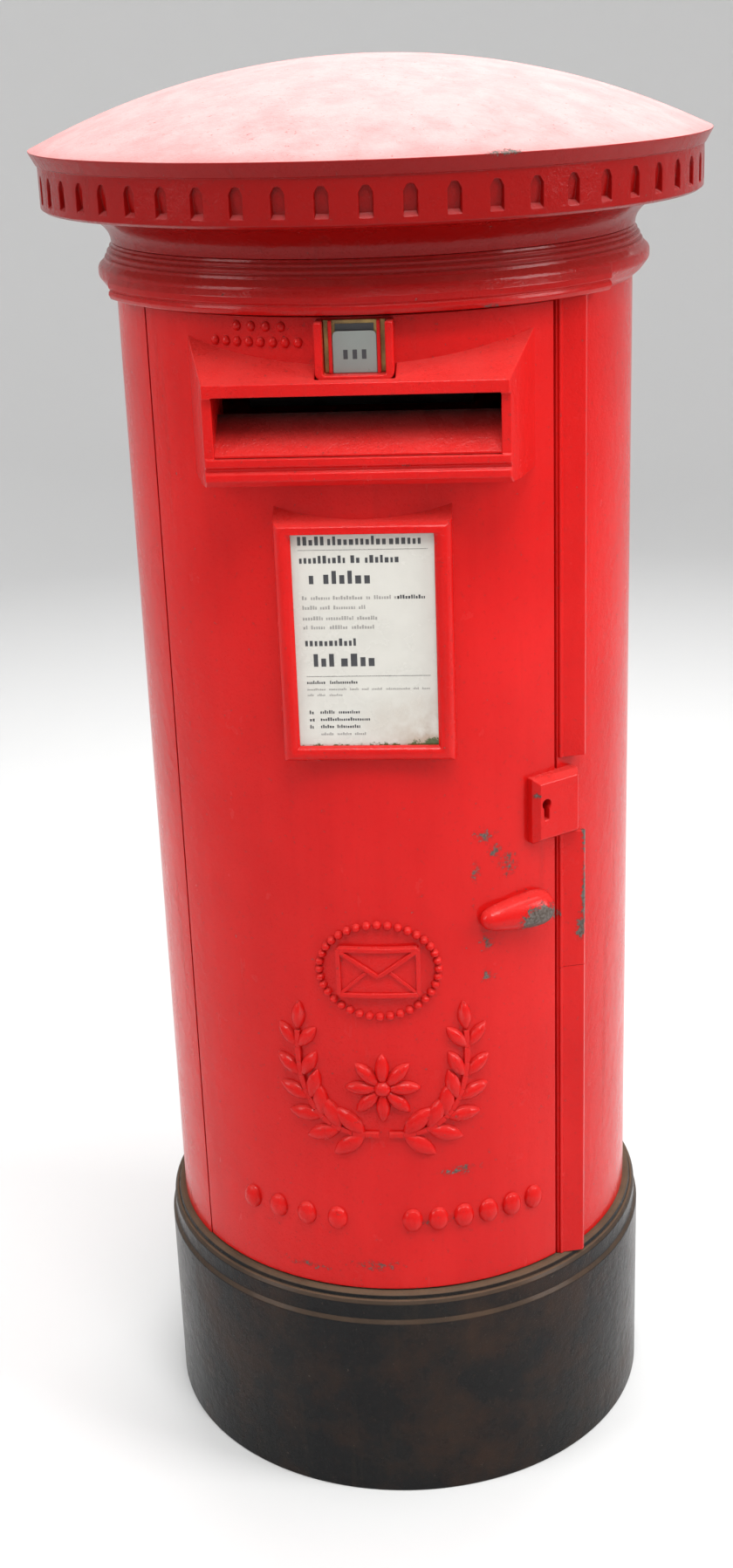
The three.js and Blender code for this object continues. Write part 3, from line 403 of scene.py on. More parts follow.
def paintGroup():
    # thick brushed gloss paint over cast iron: its shade, gloss and relief change over the surface; it also
    # paints shade into hollows and a highlight onto sharp edges
    tree, given, out = newGroup(
        "brushedPaint",
        [
            ("Paint", "NodeSocketColor", (0.5, 0.01, 0.01, 1)),
            ("Faded", "NodeSocketColor", (0.6, 0.03, 0.03, 1)),
            # the Grime colour also serves as painted shade in hollows
            ("Grime", "NodeSocketColor", (0.08, 0.02, 0.015, 1)),
            ("Bare", "NodeSocketColor", (0.075, 0.058, 0.047, 1)),
            # where the Dust colour is pale, as on the cap, it is also a painted reflection of the sky
            ("Dust", "NodeSocketColor", (0.4, 0.33, 0.28, 1)),
            ("Gloss", "NodeSocketFloat", 0.25),
            ("Grime Amount", "NodeSocketFloat", 0.3),
            ("Dust Amount", "NodeSocketFloat", 0.1),
            ("Rust Amount", "NodeSocketFloat", 0.0),
            ("Wear", "NodeSocketFloat", 0.0),
            ("Lumps", "NodeSocketFloat", 1.0),
            ("Coat", "NodeSocketFloat", 0.18),
        ],
        [
            ("Color", "NodeSocketColor"), ("Roughness", "NodeSocketFloat"),
            ("Coat Weight", "NodeSocketFloat"), ("Metallic", "NodeSocketFloat"), ("Height", "NodeSocketFloat"),
        ],
    )
    value = given.outputs
    place = objectPlace(tree)
    cloudy = noiseAt(tree, place, 6, 4)
    patches = noiseAt(tree, place, 26, 5, 0.6)
    streaks = noiseAt(tree, place, 40, 4, 0.6, (1, 1, 0.07))
    peel = noiseAt(tree, place, 430, 2)
    ripple = noiseAt(tree, place, 90, 2)
    specks = noiseAt(tree, place, 700, 1)
    chips = noiseAt(tree, place, 190, 6, 0.8)
    geometry = tree.nodes.new("ShaderNodeNewGeometry")
    upward = split(tree, geometry.outputs["Normal"])["Z"]

    fade = ranged(tree, mathNode(tree, "ADD", cloudy, mathNode(tree, "MULTIPLY", streaks, 0.45)), 0.55, 0.95)
    color = mixed(tree, fade, value["Paint"], value["Faded"])
    # painted highlight: sharp outer edges are mixed towards a pale pink, partly for thinner paint there
    edge = mathNode(tree, "MULTIPLY", ranged(tree, geometry.outputs["Pointiness"], 0.56, 0.68), 0.3)
    color = mixed(tree, edge, color, mixed(tree, 0.12, value["Paint"], (1, 0.8, 0.78)))
    # painted shade: hollows and creases darken towards the Grime colour, partly real grime; the streaks below
    # are dirt
    hollow = ranged(tree, geometry.outputs["Pointiness"], 0.49, 0.42)
    amount = ("MULTIPLY", value["Grime Amount"])
    shadeAndGrime = chained(tree, hollow, amount, ("MULTIPLY", ranged(tree, patches, 0.3, 0.6)))
    streaky = chained(tree, ranged(tree, streaks, 0.6, 0.8), amount, ("MULTIPLY", 0.35))
    shadeAndGrime = mathNode(tree, "MAXIMUM", shadeAndGrime, streaky)
    color = mixed(tree, shadeAndGrime, color, value["Grime"])

    rust = ranged(tree, noiseAt(tree, place, 10, 6, 0.68), 0.46, 0.66)
    rust = mathNode(tree, "MULTIPLY", rust, value["Rust Amount"])
    rusty = mixed(tree, patches, (0.085, 0.028, 0.010), (0.16, 0.075, 0.035))
    color = mixed(tree, rust, color, rusty)

    # dust on upward faces; on the cap its pale pink colour is partly a painted reflection of the sky
    dust = chained(
        tree, ranged(tree, upward, 0.35, 0.95),
        ("MULTIPLY", ranged(tree, patches, -0.35, 0.6)), ("MULTIPLY", value["Dust Amount"]),
    )
    color = mixed(tree, dust, color, value["Dust"])

    ragged = chained(tree, value["Wear"], ("ADD", ranged(tree, chips, 0.3, 0.7, -0.62, 0.62)))
    worn = ranged(tree, ragged, 0.5, 0.57)
    thin = mathNode(tree, "MULTIPLY", ranged(tree, ragged, 0.28, 0.5), 0.45)
    color = mixed(tree, thin, color, value["Grime"])
    bright = mixed(tree, 0.1, value["Bare"], (0.8, 0.76, 0.74))
    bare = mixed(tree, ranged(tree, peel, 0.35, 0.65), value["Bare"], bright)
    color = mixed(tree, worn, color, bare)
    tree.links.new(color, out.inputs["Color"])

    rough = chained(tree, patches, ("MULTIPLY", 0.2), ("ADD", -0.1), ("ADD", value["Gloss"]))
    for share, amount in ((shadeAndGrime, 0.35), (rust, 0.45), (dust, 0.6), (worn, 0.12)):
        rough = mathNode(tree, "ADD", rough, mathNode(tree, "MULTIPLY", share, amount))
    tree.links.new(mathNode(tree, "MINIMUM", rough, 0.9), out.inputs["Roughness"])
    covered = chained(tree, worn, ("MAXIMUM", rust), ("MAXIMUM", dust), ("MAXIMUM", shadeAndGrime))
    coat = mathNode(tree, "MULTIPLY", ranged(tree, covered, 0, 0.7, 1, 0), value["Coat"])
    tree.links.new(coat, out.inputs["Coat Weight"])
    tree.links.new(mathNode(tree, "MULTIPLY", worn, 0.15), out.inputs["Metallic"])

    height = mathNode(tree, "MULTIPLY", peel, 0.5)
    for source, amount in ((ripple, 1.1), (streaks, 0.4), (ranged(tree, specks, 0.66, 0.74), 0.5)):
        height = mathNode(tree, "ADD", height, mathNode(tree, "MULTIPLY", source, amount))
    sunk = mathNode(tree, "MULTIPLY", worn, 0.5)
    height = chained(tree, height, ("MULTIPLY", value["Lumps"]), ("SUBTRACT", sunk))
    tree.links.new(height, out.inputs["Height"])
    return tree


def metalGroup():
    # bare metal with fine scratches, cloudy dulling and spots of corrosion
    tree, given, out = newGroup(
        "bareMetal",
        [
            ("Metal", "NodeSocketColor", (0.5, 0.5, 0.5, 1)),
            ("Tarnish", "NodeSocketColor", (0.2, 0.15, 0.1, 1)),
            ("Gloss", "NodeSocketFloat", 0.4),
            ("Tarnish Amount", "NodeSocketFloat", 0.4),
            ("Spangle", "NodeSocketFloat", 0.0),
        ],
        [
            ("Color", "NodeSocketColor"), ("Roughness", "NodeSocketFloat"), ("Metallic", "NodeSocketFloat"),
            ("Height", "NodeSocketFloat"),
        ],
    )
    value = given.outputs
    place = objectPlace(tree)
    clouds = noiseAt(tree, place, 38, 5, 0.62)
    spots = noiseAt(tree, place, 160, 4, 0.6)
    scratches = noiseAt(tree, place, 500, 2, 0.5, (1, 1, 0.04))
    crystals = tree.nodes.new("ShaderNodeTexVoronoi")
    crystals.inputs["Scale"].default_value = 110
    tree.links.new(place, crystals.inputs["Vector"])
    flake = tree.nodes.new("ShaderNodeSeparateColor")
    tree.links.new(crystals.outputs["Color"], flake.inputs[0])
    tarnish = chained(tree, ranged(tree, clouds, 0.42, 0.68), ("MULTIPLY", value["Tarnish Amount"]))
    tarnish = mathNode(tree, "MAXIMUM", tarnish, chained(
        tree, ranged(tree, spots, 0.6, 0.7), ("MULTIPLY", value["Tarnish Amount"]),
    ))
    shade = ranged(tree, flake.outputs[0], 0, 1, -0.5, 0.5)
    shade = chained(tree, shade, ("MULTIPLY", value["Spangle"]), ("ADD", 0.5))
    color = mixed(tree, shade, mixed(tree, 0.35, value["Metal"], (0, 0, 0)), value["Metal"])
    tree.links.new(mixed(tree, tarnish, color, value["Tarnish"]), out.inputs["Color"])
    rough = chained(tree, scratches, ("MULTIPLY", 0.2), ("ADD", -0.1), ("ADD", value["Gloss"]))
    rough = mathNode(tree, "ADD", rough, mathNode(tree, "MULTIPLY", tarnish, 0.3))
    tree.links.new(rough, out.inputs["Roughness"])
    tree.links.new(ranged(tree, tarnish, 0, 1, 1, 0.35), out.inputs["Metallic"])
    pitted = mathNode(tree, "MULTIPLY", tarnish, 0.6)
    height = chained(tree, scratches, ("MULTIPLY", 0.3), ("ADD", pitted))
    tree.links.new(height, out.inputs["Height"])
    return tree


brushedPaint = paintGroup()
bareMetal = metalGroup()


def newMaterial(name, **values):
    material = bpy.data.materials.new(name)
    material.use_nodes = True
    tree = material.node_tree
    shader = tree.nodes["Principled BSDF"]
    for label, value in values.items():
        shader.inputs[label.replace("_", " ")].default_value = value
    return material, tree, shader


def bumped(tree, shader, height, strength, distance):
    bump = tree.nodes.new("ShaderNodeBump")
    bump.inputs["Strength"].default_value = strength
    bump.inputs["Distance"].default_value = distance
    tree.links.new(height, bump.inputs["Height"])
    tree.links.new(bump.outputs["Normal"], shader.inputs["Normal"])


def placeGroup(tree, shader, group, strength, **values):
    # one group's outputs feed the shader sockets of the same names, and its height feeds the bump
    node = tree.nodes.new("ShaderNodeGroup")
    node.node_tree = group
    for label, value in values.items():
        socket = node.inputs[label.replace("_", " ")]
        if isinstance(value, bpy.types.NodeSocket):
            tree.links.new(value, socket)
        else:
            socket.default_value = value
    for output in node.outputs:
        name = {"Color": "Base Color"}.get(output.name, output.name)
        if name != "Height":
            tree.links.new(output, shader.inputs[name])
    bumped(tree, shader, node.outputs["Height"], strength, 0.0012)


def spotMask(tree, spots):
    # 1 at the middle of each spot, falling to 0 at its edge; a spot is its angle, height and size
    place = objectPlace(tree)
    total = 0.0
    for radius, angle, height, size, amount in spots:
        centre = polar(radius, angle, height) * mm
        mapping = tree.nodes.new("ShaderNodeMapping")
        stretch = Vector([1 / (each * mm) for each in size])
        turn = -math.radians(angle)
        mapping.inputs["Rotation"].default_value = (0, 0, turn)
        turned = Matrix.Rotation(turn, 3, "Z") @ centre
        mapping.inputs["Location"].default_value = -turned
        tree.links.new(place, mapping.inputs["Vector"])
        sized = tree.nodes.new("ShaderNodeMapping")
        sized.inputs["Scale"].default_value = stretch
        tree.links.new(mapping.outputs["Vector"], sized.inputs["Vector"])
        ball = tree.nodes.new("ShaderNodeTexGradient")
        ball.gradient_type = "SPHERICAL"
        tree.links.new(sized.outputs["Vector"], ball.inputs["Vector"])
        near = mathNode(tree, "MULTIPLY", ball.outputs["Fac"], amount)
        total = mathNode(tree, "MAXIMUM", near, total)
    return total


redPaintLook = {
    "paint": (0.50, 0.005, 0.0045, 1),
    "faded": (0.58, 0.009, 0.008, 1),
    "shadeAndGrime": (0.12, 0.010, 0.007, 1),
    "gloss": 0.24,
    "lumps": 0.6,
    "dust": 0.10,
    "dustHeights": (1.345, 1.368),
    "dustColor": (0.55, 0.25, 0.22, 1),
    "shaded": (0.24, 0.003, 0.0025),
    "shadedFrom": 1.205,
    "shadedTo": 1.262,
}

# worn places: radius, angle, height, half sizes across, in and up, and how bare the middle is
wornPlaces = [
    (268, 36.0, 646, (30, 26, 21), 1.7),
    (263, 49.7, 735, (6, 9, 66), 1.3),
    (263, 49.7, 650, (5.5, 8, 56), 1.2),
    (262, 48.6, 618, (9, 8, 20), 1.2),
    (262, 35.9, 770, (6, 8, 8), 0.95),
    (266, 37.5, 796, (26, 9, 5), 0.8),
    (252, 43.8, 634, (6, 12, 9), 1.2),
    (248, 24.5, 738, (18, 6, 14), 0.62),
    (248, 27.0, 720, (12, 6, 12), 0.72),
    (248, 30.5, 704, (16, 6, 18), 0.6),
    (248, 22.5, 702, (8, 6, 20), 0.62),
    (248, 25.2, 590, (13, 6, 10), 0.62),
    (248, 25.2, 628, (14, 6, 24), 0.52),
    (272, 9.0, 1104, (7, 6, 3.5), 0.95),
    (262, 5.6, 1115, (8, 8, 3), 0.9),
    (248, 17.0, 378, (34, 6, 9), 0.6),
    (248, -3.0, 271, (40, 6, 9), 0.62),
    (248, 11.0, 322, (30, 6, 8), 0.5),
    (248, -20.0, 262, (60, 6, 6), 0.5),
    (264, 26.0, 1233, (12, 6, 4), 0.9),
    (321, 24.0, 1362, (26, 8, 5), 1.0),
]


def redPaint(name, places=(), **changes):
    # the paint is darker higher up: a painted shade under the overhanging cap
    look = {**redPaintLook, **changes}
    material, tree, shader = newMaterial(name, Coat_Roughness=0.1, Specular_IOR_Level=0.09)
    wear = spotMask(tree, places) if places else 0.0
    height = split(tree, objectPlace(tree))["Z"]
    # painted shade: above shadedFrom the paint and its faded tone blend into the shaded colour
    up = ranged(tree, height, look["shadedFrom"], look["shadedTo"])
    paint, faded = (mixed(tree, up, look[each][:3], look["shaded"]) for each in ("paint", "faded"))
    # upward faces take more dust above these heights; on the cap this is partly a painted sky reflection
    dust = ranged(tree, height, *look["dustHeights"], redPaintLook["dust"], look["dust"])
    placeGroup(
        tree, shader, brushedPaint, look["lumps"], Paint=paint, Faded=faded, Grime=look["shadeAndGrime"],
        Gloss=look["gloss"], Grime_Amount=0.7, Dust_Amount=dust, Dust=look["dustColor"], Wear=wear,
    )
    return material


def blackPaint():
    material, tree, shader = newMaterial("blackPaint", Coat_Roughness=0.15, Specular_IOR_Level=0.06)
    placeGroup(
        tree, shader, brushedPaint, 0.45, Paint=(0.007, 0.007, 0.0075, 1), Faded=(0.011, 0.0105, 0.010, 1),
        Grime=(0.045, 0.028, 0.018, 1), Dust=(0.15, 0.095, 0.06, 1), Gloss=0.26, Grime_Amount=0.8,
        Dust_Amount=0.8,
        Rust_Amount=0.16, Lumps=1.5, Coat=0.16,
    )
    return material


def bareMetalLook(name, strength=0.3, **values):
    material, tree, shader = newMaterial(name)
    placeGroup(tree, shader, bareMetal, strength, **values)
    return material


red = redPaint("redPaint", wornPlaces)
plainRed = redPaint("insideRedPaint", gloss=0.34)
# the cap's pale pink dust is partly dust and partly a painted reflection of the sky on the dome
capRed = redPaint("capPaint", wornPlaces, dust=0.75, dustColor=(0.80, 0.42, 0.41, 1), lumps=0.6)
# painted shade: the baffle's paint darkens to near black towards its top, where the slot under the hood lies
# in shadow
baffleFoot = (nodeBox("aperture_surround")[0].z + 32) * mm
baffleShadeRed = redPaint(
    "baffleShadePaint", shaded=(0.004, 0.001, 0.001), shadedFrom=baffleFoot, shadedTo=baffleFoot + 0.026,
)
black = blackPaint()
steel = bareMetalLook(
    "steel", Metal=(0.42, 0.43, 0.45, 1), Tarnish=(0.16, 0.075, 0.035, 1), Gloss=0.36, Tarnish_Amount=0.55,
)
zinc = bareMetalLook(
    "zincCoating", Metal=(0.52, 0.55, 0.57, 1), Tarnish=(0.42, 0.43, 0.42, 1), Gloss=0.42,
    Tarnish_Amount=0.5, Spangle=0.7,
)
# painted shade: the deflector hood inside the slot gets a near-black zinc that stands in for its shadow
shadowDarkZinc = bareMetalLook(
    "shadowDarkZinc", Metal=(0.06, 0.06, 0.06, 1), Tarnish=(0.02, 0.016, 0.012, 1), Gloss=0.6, Tarnish_Amount=0.7,
)
brass = bareMetalLook(
    "agedBrass", Metal=(0.50, 0.34, 0.13, 1), Tarnish=(0.10, 0.065, 0.035, 1), Gloss=0.38,
    Tarnish_Amount=0.75,
)

# cap

capLook = {
    "rim": 321.0,
    "fasciaRadius": 313.0,
    "bandFoot": 1348.5,
    "flutes": 54,
    "fluteWidth": 12.0,
    "fluteFoot": 1315.0,
    "fluteHead": 1341.0,
    "fluteDepth": 5.5,
}


def capCasting():
    look = capLook
    rim, fascia = look["rim"], look["fasciaRadius"]
    foot, head = capLow.z, capHigh.z
    edgeHeight = head - 74.0
    domeRise = head - edgeHeight
    domeRadius = (rim ** 2 + domeRise ** 2) / (2 * domeRise)
    domeTurn = math.degrees(math.asin(rim / domeRadius))
    dome = arcPoints(0, head - domeRadius, domeRadius, 90 - domeTurn, 90, 22)
    lining = arcPoints(0, head - domeRadius - wall, domeRadius, 90, 90 - domeTurn * 0.92, 10)
    cove = arcPoints(300, foot, 50, 180, 90, 12)
    cove = [(x, foot + (z - foot) * 0.6) for x, z in cove]
    profile = [
        *dome[::-1][:-1],
        (rim, edgeHeight + 0.4, 0.8), (rim - 1.5, edgeHeight - 2.5, 1.2),
        (fascia + 1.5, look["bandFoot"], 1.0), (fascia, look["bandFoot"] - 0.8),
        (fascia, look["fluteHead"]),
    ]
    span = look["fluteHead"] - look["fluteFoot"]
    profile += [(fascia, look["fluteFoot"] + span * share) for share in (0.6, 0.3, 0)]
    profile += [(fascia, foot + 33.5), (fascia - 3.5, foot + 31, 1.5), (301, foot + 30.6)]
    profile += cove[::-1]
    profile += [(206, foot), (206, foot + 10), (innerRadius, foot + 12)]
    profile += [(288, foot + 38), (288, edgeHeight - 25), *lining[::-1]]
    bm = bmesh.new()
    points = [polar(p[0], 0, p[1]) for p in roundedOutline(profile, False)]
    geom = sum(chain(bm, points, False), [])
    pitch = 360 / look["flutes"]
    width = math.degrees(look["fluteWidth"] / fascia)
    for sweep, steps in (((pitch - width) / 2, 2), (width, 4), ((pitch - width) / 2, 2)):
        spun = bmesh.ops.spin(
            bm, geom=geom, cent=(0, 0, 0), axis=(0, 0, 1), angle=math.radians(sweep), steps=steps,
        )
        geom = spun["geom_last"]
    cutFlute(bm, look, pitch)
    bmesh.ops.spin(
        bm, geom=bm.verts[:] + bm.edges[:] + bm.faces[:], cent=(0, 0, 0), axis=(0, 0, 1),
        angle=math.radians(360 - pitch), steps=look["flutes"] - 1, use_duplicate=True,
    )
    return bm


def cutFlute(bm, look, pitch):
    fascia = look["fasciaRadius"]
    half = look["fluteWidth"] / 2
    middle = polar(1, pitch / 2)
    side = polar(1, pitch / 2 + 90)
    region = []
    for face in bm.faces:
        centre = face.calc_center_median()
        flat = Vector((centre.x, centre.y, 0))
        outside = abs(flat.length - fascia) < 1
        if outside and abs(flat.dot(side)) < half and look["fluteFoot"] < centre.z < look["fluteHead"]:
            region.append(face)
    for vert in {v for f in region for v in f.verts}:
        if abs(vert.co.z - look["fluteHead"]) < 0.01:
            off = min(half, abs(vert.co.dot(side)))
            vert.co.z = look["fluteHead"] - half + math.sqrt(half ** 2 - off ** 2)
    bmesh.ops.inset_region(bm, faces=region, thickness=0.5, depth=-0.8, use_even_offset=True)
    span = look["fluteHead"] - look["fluteFoot"]
    for vert in {v for f in region for v in f.verts}:
        down = (look["fluteHead"] - vert.co.z) / span
        vert.co -= middle * look["fluteDepth"] * (0.35 + 0.65 * down)
        if down > 0.9:
            vert.co.z += 3.2


makePiece("capCasting", capCasting(), "casing", capRed, ["cap"], soft=0.7, limit=32)
print("cap done")

# carcass: wall, cornice ring, drip moulding and closing rib

carcassLook = {
    "jambRight": 44.2,
    "hingeInset": 28.0,
    "hingeAngle": -44.0,
    "doorLeft": -53.1,
    "doorRight": 43.5,
    "jambGap": 1.6,
    "dripLeft": -62.3,
    "dripRight": 56.8,
    "ribLeft": 44.6,
    "ribRight": 50.3,
    "stopRadius": 226.0,
    "stopFace": 235.0,
    "flangeRadius": 206.0,
    "stopFrom": -31.0,
}
hinge = polar(bodyRadius - carcassLook["hingeInset"], carcassLook["hingeAngle"])


def edgeAngle(radius, swing):
    # angle round the body at which a circle about the hinge meets a circle about the body
    reach = hinge.length
    cosine = (radius ** 2 + reach ** 2 - swing ** 2) / (2 * radius * reach)
    return carcassLook["hingeAngle"] - math.degrees(math.acos(cosine))


def arcRound(radius, start, end, steps):
    return [polar(radius, start + (end - start) * i / steps) for i in range(steps + 1)]


def hingeArc(start, end, steps):
    # from one point to another round the hinge
    a, b = start - hinge, end - hinge
    turn = a.to_2d().angle_signed(b.to_2d())
    return [hinge + Matrix.Rotation(-turn * i / steps, 3, "Z") @ a for i in range(1, steps)]


def carcassWall():
    look = carcassLook
    edge = polar(bodyRadius, look["doorLeft"])
    swing = (edge - hinge).length + look["jambGap"]
    outer = edgeAngle(bodyRadius, swing) + 360
    inner = edgeAngle(innerRadius, swing) + 360
    jamb = look["jambRight"]
    outline = arcRound(bodyRadius, jamb, outer, 240)
    outline += hingeArc(polar(bodyRadius, outer), polar(innerRadius, inner), 6)
    outline += arcRound(innerRadius, inner, jamb, 120)
    return prism([p.to_2d() for p in outline], plinthTop + 0.3, ringFoot + 1)


def corniceRing():
    foot, head = ringFoot, ringTop
    flange = carcassLook["flangeRadius"]
    return turned([
        (bodyRadius - 4, foot - 1), (bodyRadius + 0.4, foot - 1.5),
        (bodyRadius + 8.5, foot + 5.5, 9), (bodyRadius + 15.8, foot + 15, 7),
        (bodyRadius + 15.8, foot + 23.5, 6), (bodyRadius + 9.5, foot + 29.5, 2),
        (bodyRadius + 9, foot + 32.2, 1), (bodyRadius + 6.2, foot + 33.2, 0.8),
        (bodyRadius + 7, foot + 36.5, 1.2), (bodyRadius + 5.6, foot + 38, 0.8),
        (bodyRadius + 3.6, foot + 38.8, 0.7), (bodyRadius + 4.4, foot + 41.6, 1),
        (bodyRadius + 2.2, foot + 43, 0.8), (bodyRadius + 1.6, head),
        (flange, head), (flange, head - 14), (innerRadius, head - 14), (innerRadius, foot - 1),
    ])


def dripMoulding():
    look = carcassLook
    foot = ringFoot + 0.5
    sweep = look["dripRight"] - look["dripLeft"]
    return turned([
        (bodyRadius - 3, foot), (bodyRadius + 16.5, foot, 3), (bodyRadius + 19, foot + 4.5, 2.5),
        (bodyRadius + 18.4, foot + 7.6, 1), (bodyRadius + 17, foot + 8.4, 0.8),
        (bodyRadius + 18.6, foot + 10.6, 1), (bodyRadius + 19, foot + 15.5, 1.6),
        (bodyRadius + 12, foot + 26.5, 1.5), (bodyRadius - 3, foot + 27),
    ], 120, look["dripLeft"], sweep)


def ribOutline():
    look = carcassLook
    left, right = look["ribLeft"], look["ribRight"]
    places = [
        (-4, left, 0), (2.6, left, 1.0), (3.2, left + 0.55, 0.8), (2.6, left + 0.95, 0.5),
        (14.0, right - 0.75, 1.6), (12.5, right + 0.05, 1.2), (-4, right + 0.8, 0),
    ]
    outline = []
    for out, angle, radius in places:
        point = polar(bodyRadius + out, angle)
        outline.append((point.x, point.y, radius))
    return outline


insertLow, insertHigh = nodeBox("rib_insert")
lockLow, lockHigh = nodeBox("lock_block")


def carcassCasting():
    notch = insertHigh.z + 0.3
    notchTop = lockHigh.z + 2
    low = prism(ribOutline(), plinthTop + 0.3, insertLow.z - 0.3)
    high = prism(ribOutline(), notchTop, ringFoot + 1)
    look = carcassLook
    ledge = look["jambRight"]
    sideStop = turned(
        ringSection(look["stopRadius"], innerRadius + 2, plinthTop + 16, ringFoot + 2), 4, ledge - 3.5, 6.5,
    )
    footFlange = turned(
        ringSection(look["flangeRadius"], innerRadius + 2, plinthTop + 0.3, plinthTop + 11.3), 120,
        ledge + 6, 360 - 70 - ledge - 6,
    )
    return joined(carcassWall(), corniceRing(), dripMoulding(), low, high, sideStop, footFlange)


makePiece("carcassCasting", carcassCasting(), "casing", red, ["carcass"], soft=0.6, limit=40)
makePiece(
    "ribInsert", prism(ribOutline(), insertLow.z, insertHigh.z), "casing", red, ["rib_insert"],
    soft=0.8, limit=40,
)
print("carcass done")

# plinth

plinthLook = {"radius": 264.0, "band": 260.6, "bandHeight": 28.0, "bore": 150.0, "wall": 14.0}


def plinthCasting():
    look = plinthLook
    radius, band = look["radius"], look["band"]
    inside = radius - look["wall"]
    top = plinthTop
    step = top - look["bandHeight"]
    ring = turned([
        (inside, 0), (radius, 0, 1.5), (radius, step - 3, 3.2), (band, step + 1.5, 1.8), (band, top - 9.5, 3),
        (band - 3.2, top - 5, 2), (band - 4.6, top - 5.6, 0.6), (band - 6, top - 1.6, 1.5),
        (band - 9, top, 2), (look["bore"], top), (look["bore"], top - 12), (inside, top - 12),
    ])
    stop = carcassLook
    section = ringSection(stop["stopRadius"], stop["stopFace"], top - 1, top + 15)
    sill = turned(section, 60, stop["stopFrom"], 74.5)
    return joined(ring, sill)


makePiece(
    "plinthCasting", plinthCasting(), "casing", black, ["plinth_ring"],
    soft=0.8, limit=40,
)
print("plinth done")

# door leaf

doorLook = {"slotHalf": 32.0, "noticeHalf": 17.0, "keyAngle": 38.5, "keyHalf": 1.35}
surroundLow, surroundHigh = nodeBox("aperture_surround")
noticeLow, noticeHigh = nodeBox("notice_frame")
keyHeight = lockLow.z + 39.0


def doorWall():
    look = doorLook
    left, right = carcassLook["doorLeft"], carcassLook["doorRight"]
    swing = (polar(bodyRadius, left) - hinge).length
    inner = edgeAngle(innerRadius, swing)
    keyStart, keyEnd = look["keyAngle"] - look["keyHalf"], look["keyAngle"] + look["keyHalf"]
    breaks = [
        (left, 0), (-look["slotHalf"], 14), (-look["noticeHalf"], 12), (look["noticeHalf"], 26),
        (look["slotHalf"], 12), (keyStart, 4), (keyEnd, 2), (right, 4),
    ]
    angles = [left]
    for (start, _), (end, steps) in zip(breaks, breaks[1:]):
        angles += [start + (end - start) * (i + 1) / steps for i in range(steps)]
    heights = [
        doorLow.z, keyHeight - 16, keyHeight + 5, noticeLow.z + 11, noticeHigh.z - 11,
        surroundLow.z + 24, surroundHigh.z - 39, doorHigh.z,
    ]
    bm = bmesh.new()
    outline = [polar(bodyRadius, a, doorLow.z) for a in angles]
    outline += [polar(innerRadius, a, doorLow.z) for a in (*reversed(angles[1:]), inner)]
    outline += hingeArc(outline[-1], outline[0], 6)
    verts, ring = chain(bm, outline)
    bm.faces.new(verts)
    for low, high in zip(heights, heights[1:]):
        raised = bmesh.ops.extrude_edge_only(bm, edges=ring)["geom"]
        ring = [e for e in raised if isinstance(e, bmesh.types.BMEdge)]
        ringVerts = [v for v in raised if isinstance(v, bmesh.types.BMVert)]
        bmesh.ops.translate(bm, vec=(0, 0, high - low), verts=ringVerts)
    bmesh.ops.contextual_create(bm, geom=ring)
    openings = [
        (-look["slotHalf"], look["slotHalf"], heights[5], heights[6]),
        (-look["noticeHalf"], look["noticeHalf"], heights[3], heights[4]),
        (keyStart, keyEnd, heights[1], heights[2]),
    ]
    for start, end, low, high in openings:
        openThrough(bm, start, end, low, high)
    return bm


def openThrough(bm, start, end, low, high):
    gone = []
    for face in bm.faces:
        centre = face.calc_center_median()
        angle = math.degrees(math.atan2(centre.x, -centre.y))
        if start < angle < end and low < centre.z < high and abs(face.normal.z) < 0.5:
            gone.append(face)
    rims = {e for f in gone for e in f.edges if any(other not in gone for other in e.link_faces)}
    bmesh.ops.delete(bm, geom=gone, context="FACES_ONLY")
    bmesh.ops.bridge_loops(bm, edges=list(rims))
    loose = [e for e in bm.edges if not e.link_faces]
    bmesh.ops.delete(bm, geom=loose, context="EDGES")
    bmesh.ops.delete(bm, geom=[v for v in bm.verts if not v.link_edges], context="VERTS")


def doorCasting():
    ribs = []
    for share in (0.34, 0.52):
        z = doorLow.z + (doorHigh.z - doorLow.z) * share
        ribs.append(turned(ringSection(228, innerRadius + 2, z, z + 12), 48, carcassLook["stopFrom"], 54.5))
    return joined(doorWall(), *ribs)


makePiece("doorCasting", doorCasting(), "door_leaf", red, ["door"], soft=0.7, limit=40)
print("door leaf done")

# aperture surround

surroundLook = {
    "half": 132.0,
    "flare": 26.0,
    "slope": 0.391,
    "slotHalf": 125.0,
    "slotHeight": 54.0,
    "lip": 11.0,
    "hoodOut": 27.0,
    "jambOut": 22.0,
}


